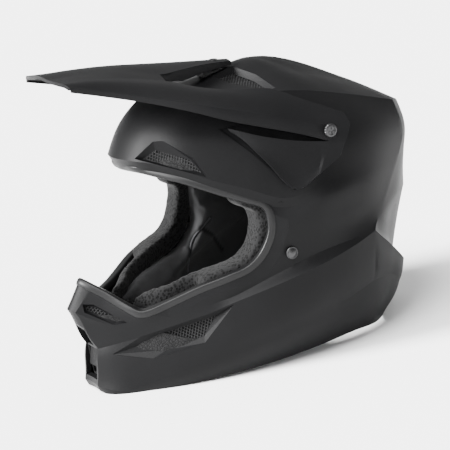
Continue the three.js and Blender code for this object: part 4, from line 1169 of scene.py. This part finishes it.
def piping_along(name, piece, outline, radius):
    """A corded edge laid on a pad along an outline seen from the side."""
    tree = BVHTree.FromObject(piece, bpy.context.evaluated_depsgraph_get())
    path = []
    for y, z in even(np.pad(np.asarray(outline, float), ((0, 0), (0, 1))), 3)[:, :2]:
        hit, _, _, _ = tree.ray_cast(Vector(put((0, y, z))), Vector((1, 0, 0)))
        if hit is not None:
            path.append(hit)
    path = np.array(path)
    for _ in range(6):
        path[1:-1] = (path[:-2] + 2 * path[1:-1] + path[2:]) / 4
    return shade(sweep(name, even(path, 2 * MM), round_section(radius, 10), (1, 0, 0.01)), 80)


def make_cheek_pads():
    band, pad = cheek_band(), cheek_cushion()
    cord = piping_along("cheek_piping_left", pad, CHEEK_SEAMS[0], 1.0)
    for piece, stands_for in ((pad, "cheek_pad"), (band, None)):
        twin = mirror_copy(piece, piece.name.replace("left", "right"))
        for each, hand in ((piece, "left"), (twin, "right")):
            dress(each, CLOTH, stands_for=[f"{stands_for}_{hand}"] if stands_for else ())
    dress(cord, PIPING)
    dress(mirror_copy(cord, "cheek_piping_right"), PIPING)


def make_crown_lining():
    depth = LINER_DEPTH + FOAM + GAP
    lining = layer_piece("crown_lining", middle_grid, depth + 1.5, depth + LINING - 1)
    carve(lining, prism(grown(CAP_AREA, -2)), how="INTERSECT")
    carve(lining, prism(grown(EYEPORT, 6)))
    puff(lining, 4.5, cap=3)
    at = pattern_points(lining)
    channels = [np.abs(np.abs(at[:, 0]) - 30), np.abs(at[:, 1] + 10 - 0.4 * (at[:, 2] - 200)),
                np.abs(at[:, 1] - 62)]
    seam = np.exp(-(np.min(channels, 0) / 2.0) ** 2)
    front = edge_distance(at[:, 1], at[:, 2], eye_edge)
    sew(lining, seam, 1.6, (np.abs(at[:, 0]) < 30).astype(float) * (front > 12))
    dress(lining, CLOTH, stands_for=["comfort_liner"])


def make_neck_roll():
    depth = WALL + 3 * GAP
    roll = layer_piece("neck_cushion", middle_grid, depth + 2.5, depth + FOAM - 7)
    carve(roll, prism(grown(NECK_AREA, -2)), how="INTERSECT")
    carve(roll, strap_channel(), block((-260, -260, -20), (260, 260, 24)))
    puff(roll, 4.5)
    sew(roll, np.exp(-((np.abs(pattern_points(roll)[:, 0]) - 34) / 2.0) ** 2), 1.6)
    dress(roll, CLOTH, stands_for=["neck_roll"])


def make_breath_guard():
    lip = [(AHEAD, 52), (-110, 48), (-122, 60), (-136, 76), (-150, 95), (-162, 99), (AHEAD, 99)]
    depth = WALL + 2 * GAP + CHIN_FOAM + GAP
    guard = layer_piece("breath_lip", shell_grid(6, 5), depth, depth + GUARD_THICK)
    carve(guard, prism(lip), how="INTERSECT")
    carve(guard, prism(grown(EYEPORT, 2)))
    edge = guard.modifiers.new("edges", "BEVEL")
    edge.width, edge.segments, edge.limit_method, edge.angle_limit = 0.8 * MM, 2, "ANGLE", math.radians(55)
    settle(guard)
    dress(shade(guard, 40), RUBBER, stands_for=["breath_guard"])


def make_strap_sleeves():
    """The padded cloth round the hanging part of each strap, with sewn lines along both edges."""
    for hand in ("left", "right"):
        node = f"strap_sleeve_{hand}"
        low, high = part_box(node)
        sleeve = bpy.data.objects[node].copy()
        sleeve.data = sleeve.data.copy()
        sleeve.name = f"strap_cushion_{hand}"
        bpy.context.scene.collection.objects.link(sleeve)
        puff(sleeve, 1.3, cap=0.8)
        across = vertex_values(sleeve)[:, 1]
        inset = np.minimum(across - low.y, high.y - across) / MM
        sew(sleeve, np.exp(-((inset - 3.5) / 0.8) ** 2), 0.5, edge=0)
        dress(sleeve, CLOTH, stands_for=[node])


make_cheek_pads()
make_strap_sleeves()
make_crown_lining()
make_neck_roll()
make_breath_guard()


# ---- CAD pieces that stay ----
def finish_nodes():
    """Every other piece keeps its CAD shape and takes its finish here."""
    finishes = {"impact_foam": FOAM_BEADS, "webbing": WEBBING, "plated_steel": STEEL, "insert_brass": BRASS,
                "dark_plastic": VENT_PLASTIC, "liner_fabric": STRAP_SLEEVE, "trim_rubber": RUBBER,
                "vent_mesh": GRILLE, "visor_plastic": PEAK_FINISH, "shell_paint": LACQUER}
    slots = {part["node"]: part["material_slot"] for part in frame["record"]["subparts"]}
    for node, slot in slots.items():
        part = bpy.data.objects.get(node)
        if part:
            part.data.materials.clear()
            part.data.materials.append(finishes[slot])


finish_nodes()


# ---- Camera, light and floor ----
def make_camera():
    """The worn head tips forward, so the camera leans by the same angle round the standing helmet."""
    turn, rise, tip = math.radians(62.0), math.radians(9.3), math.radians(10.2)
    back = Vector((math.sin(turn) * math.cos(rise), -math.cos(turn) * math.cos(rise), math.sin(rise)))
    right = Vector((math.cos(turn), math.sin(turn), 0))
    up = back.cross(right)
    untip = Matrix.Rotation(-tip, 3, "X")
    back, right, up = untip @ back, untip @ right, untip @ up
    lens = bpy.data.cameras.new("camera")
    lens.lens, lens.sensor_width = 154.0, 36.0
    lens.shift_x, lens.shift_y = -32 / 450, -17 / 450
    camera = add_object("camera", lens)
    target = Vector(put((0, 0, 120)))
    turned_to = Matrix((right, up, back)).transposed().to_4x4()
    turned_to.translation = target + back * 1.75
    camera.matrix_world = turned_to
    bpy.context.scene.camera = camera


def sun(name, source, softness, strength):
    """A broad soft light from the direction of `source`, `softness` degrees across."""
    data = bpy.data.lights.new(name, "SUN")
    data.angle, data.energy = math.radians(softness), strength
    add_object(name, data).rotation_euler = Vector(source).to_track_quat("Z", "Y").to_euler()


def make_studio():
    floor = new_piece("floor", [(-40, -40, 0), (40, -40, 0), (40, 40, 0), (-40, 40, 0)], [(0, 1, 2, 3)])
    floor.data.materials.append(seamless_paper("floor_paper"))
    world = bpy.data.worlds.new("studio")
    world.use_nodes = True
    world.node_tree.nodes["Background"].inputs[0].default_value = (1, 1, 1, 1)
    world.node_tree.nodes["Background"].inputs[1].default_value = 0.8
    bpy.context.scene.world = world
    sun("key_light", (-0.22, -0.92, 0.50), 20, 20.0)
    sun("top_light", (0.25, -0.45, 0.95), 35, 7.0)
    sun("side_light", (0.9, -0.35, 0.18), 20, 1.0)


make_camera()
make_studio()
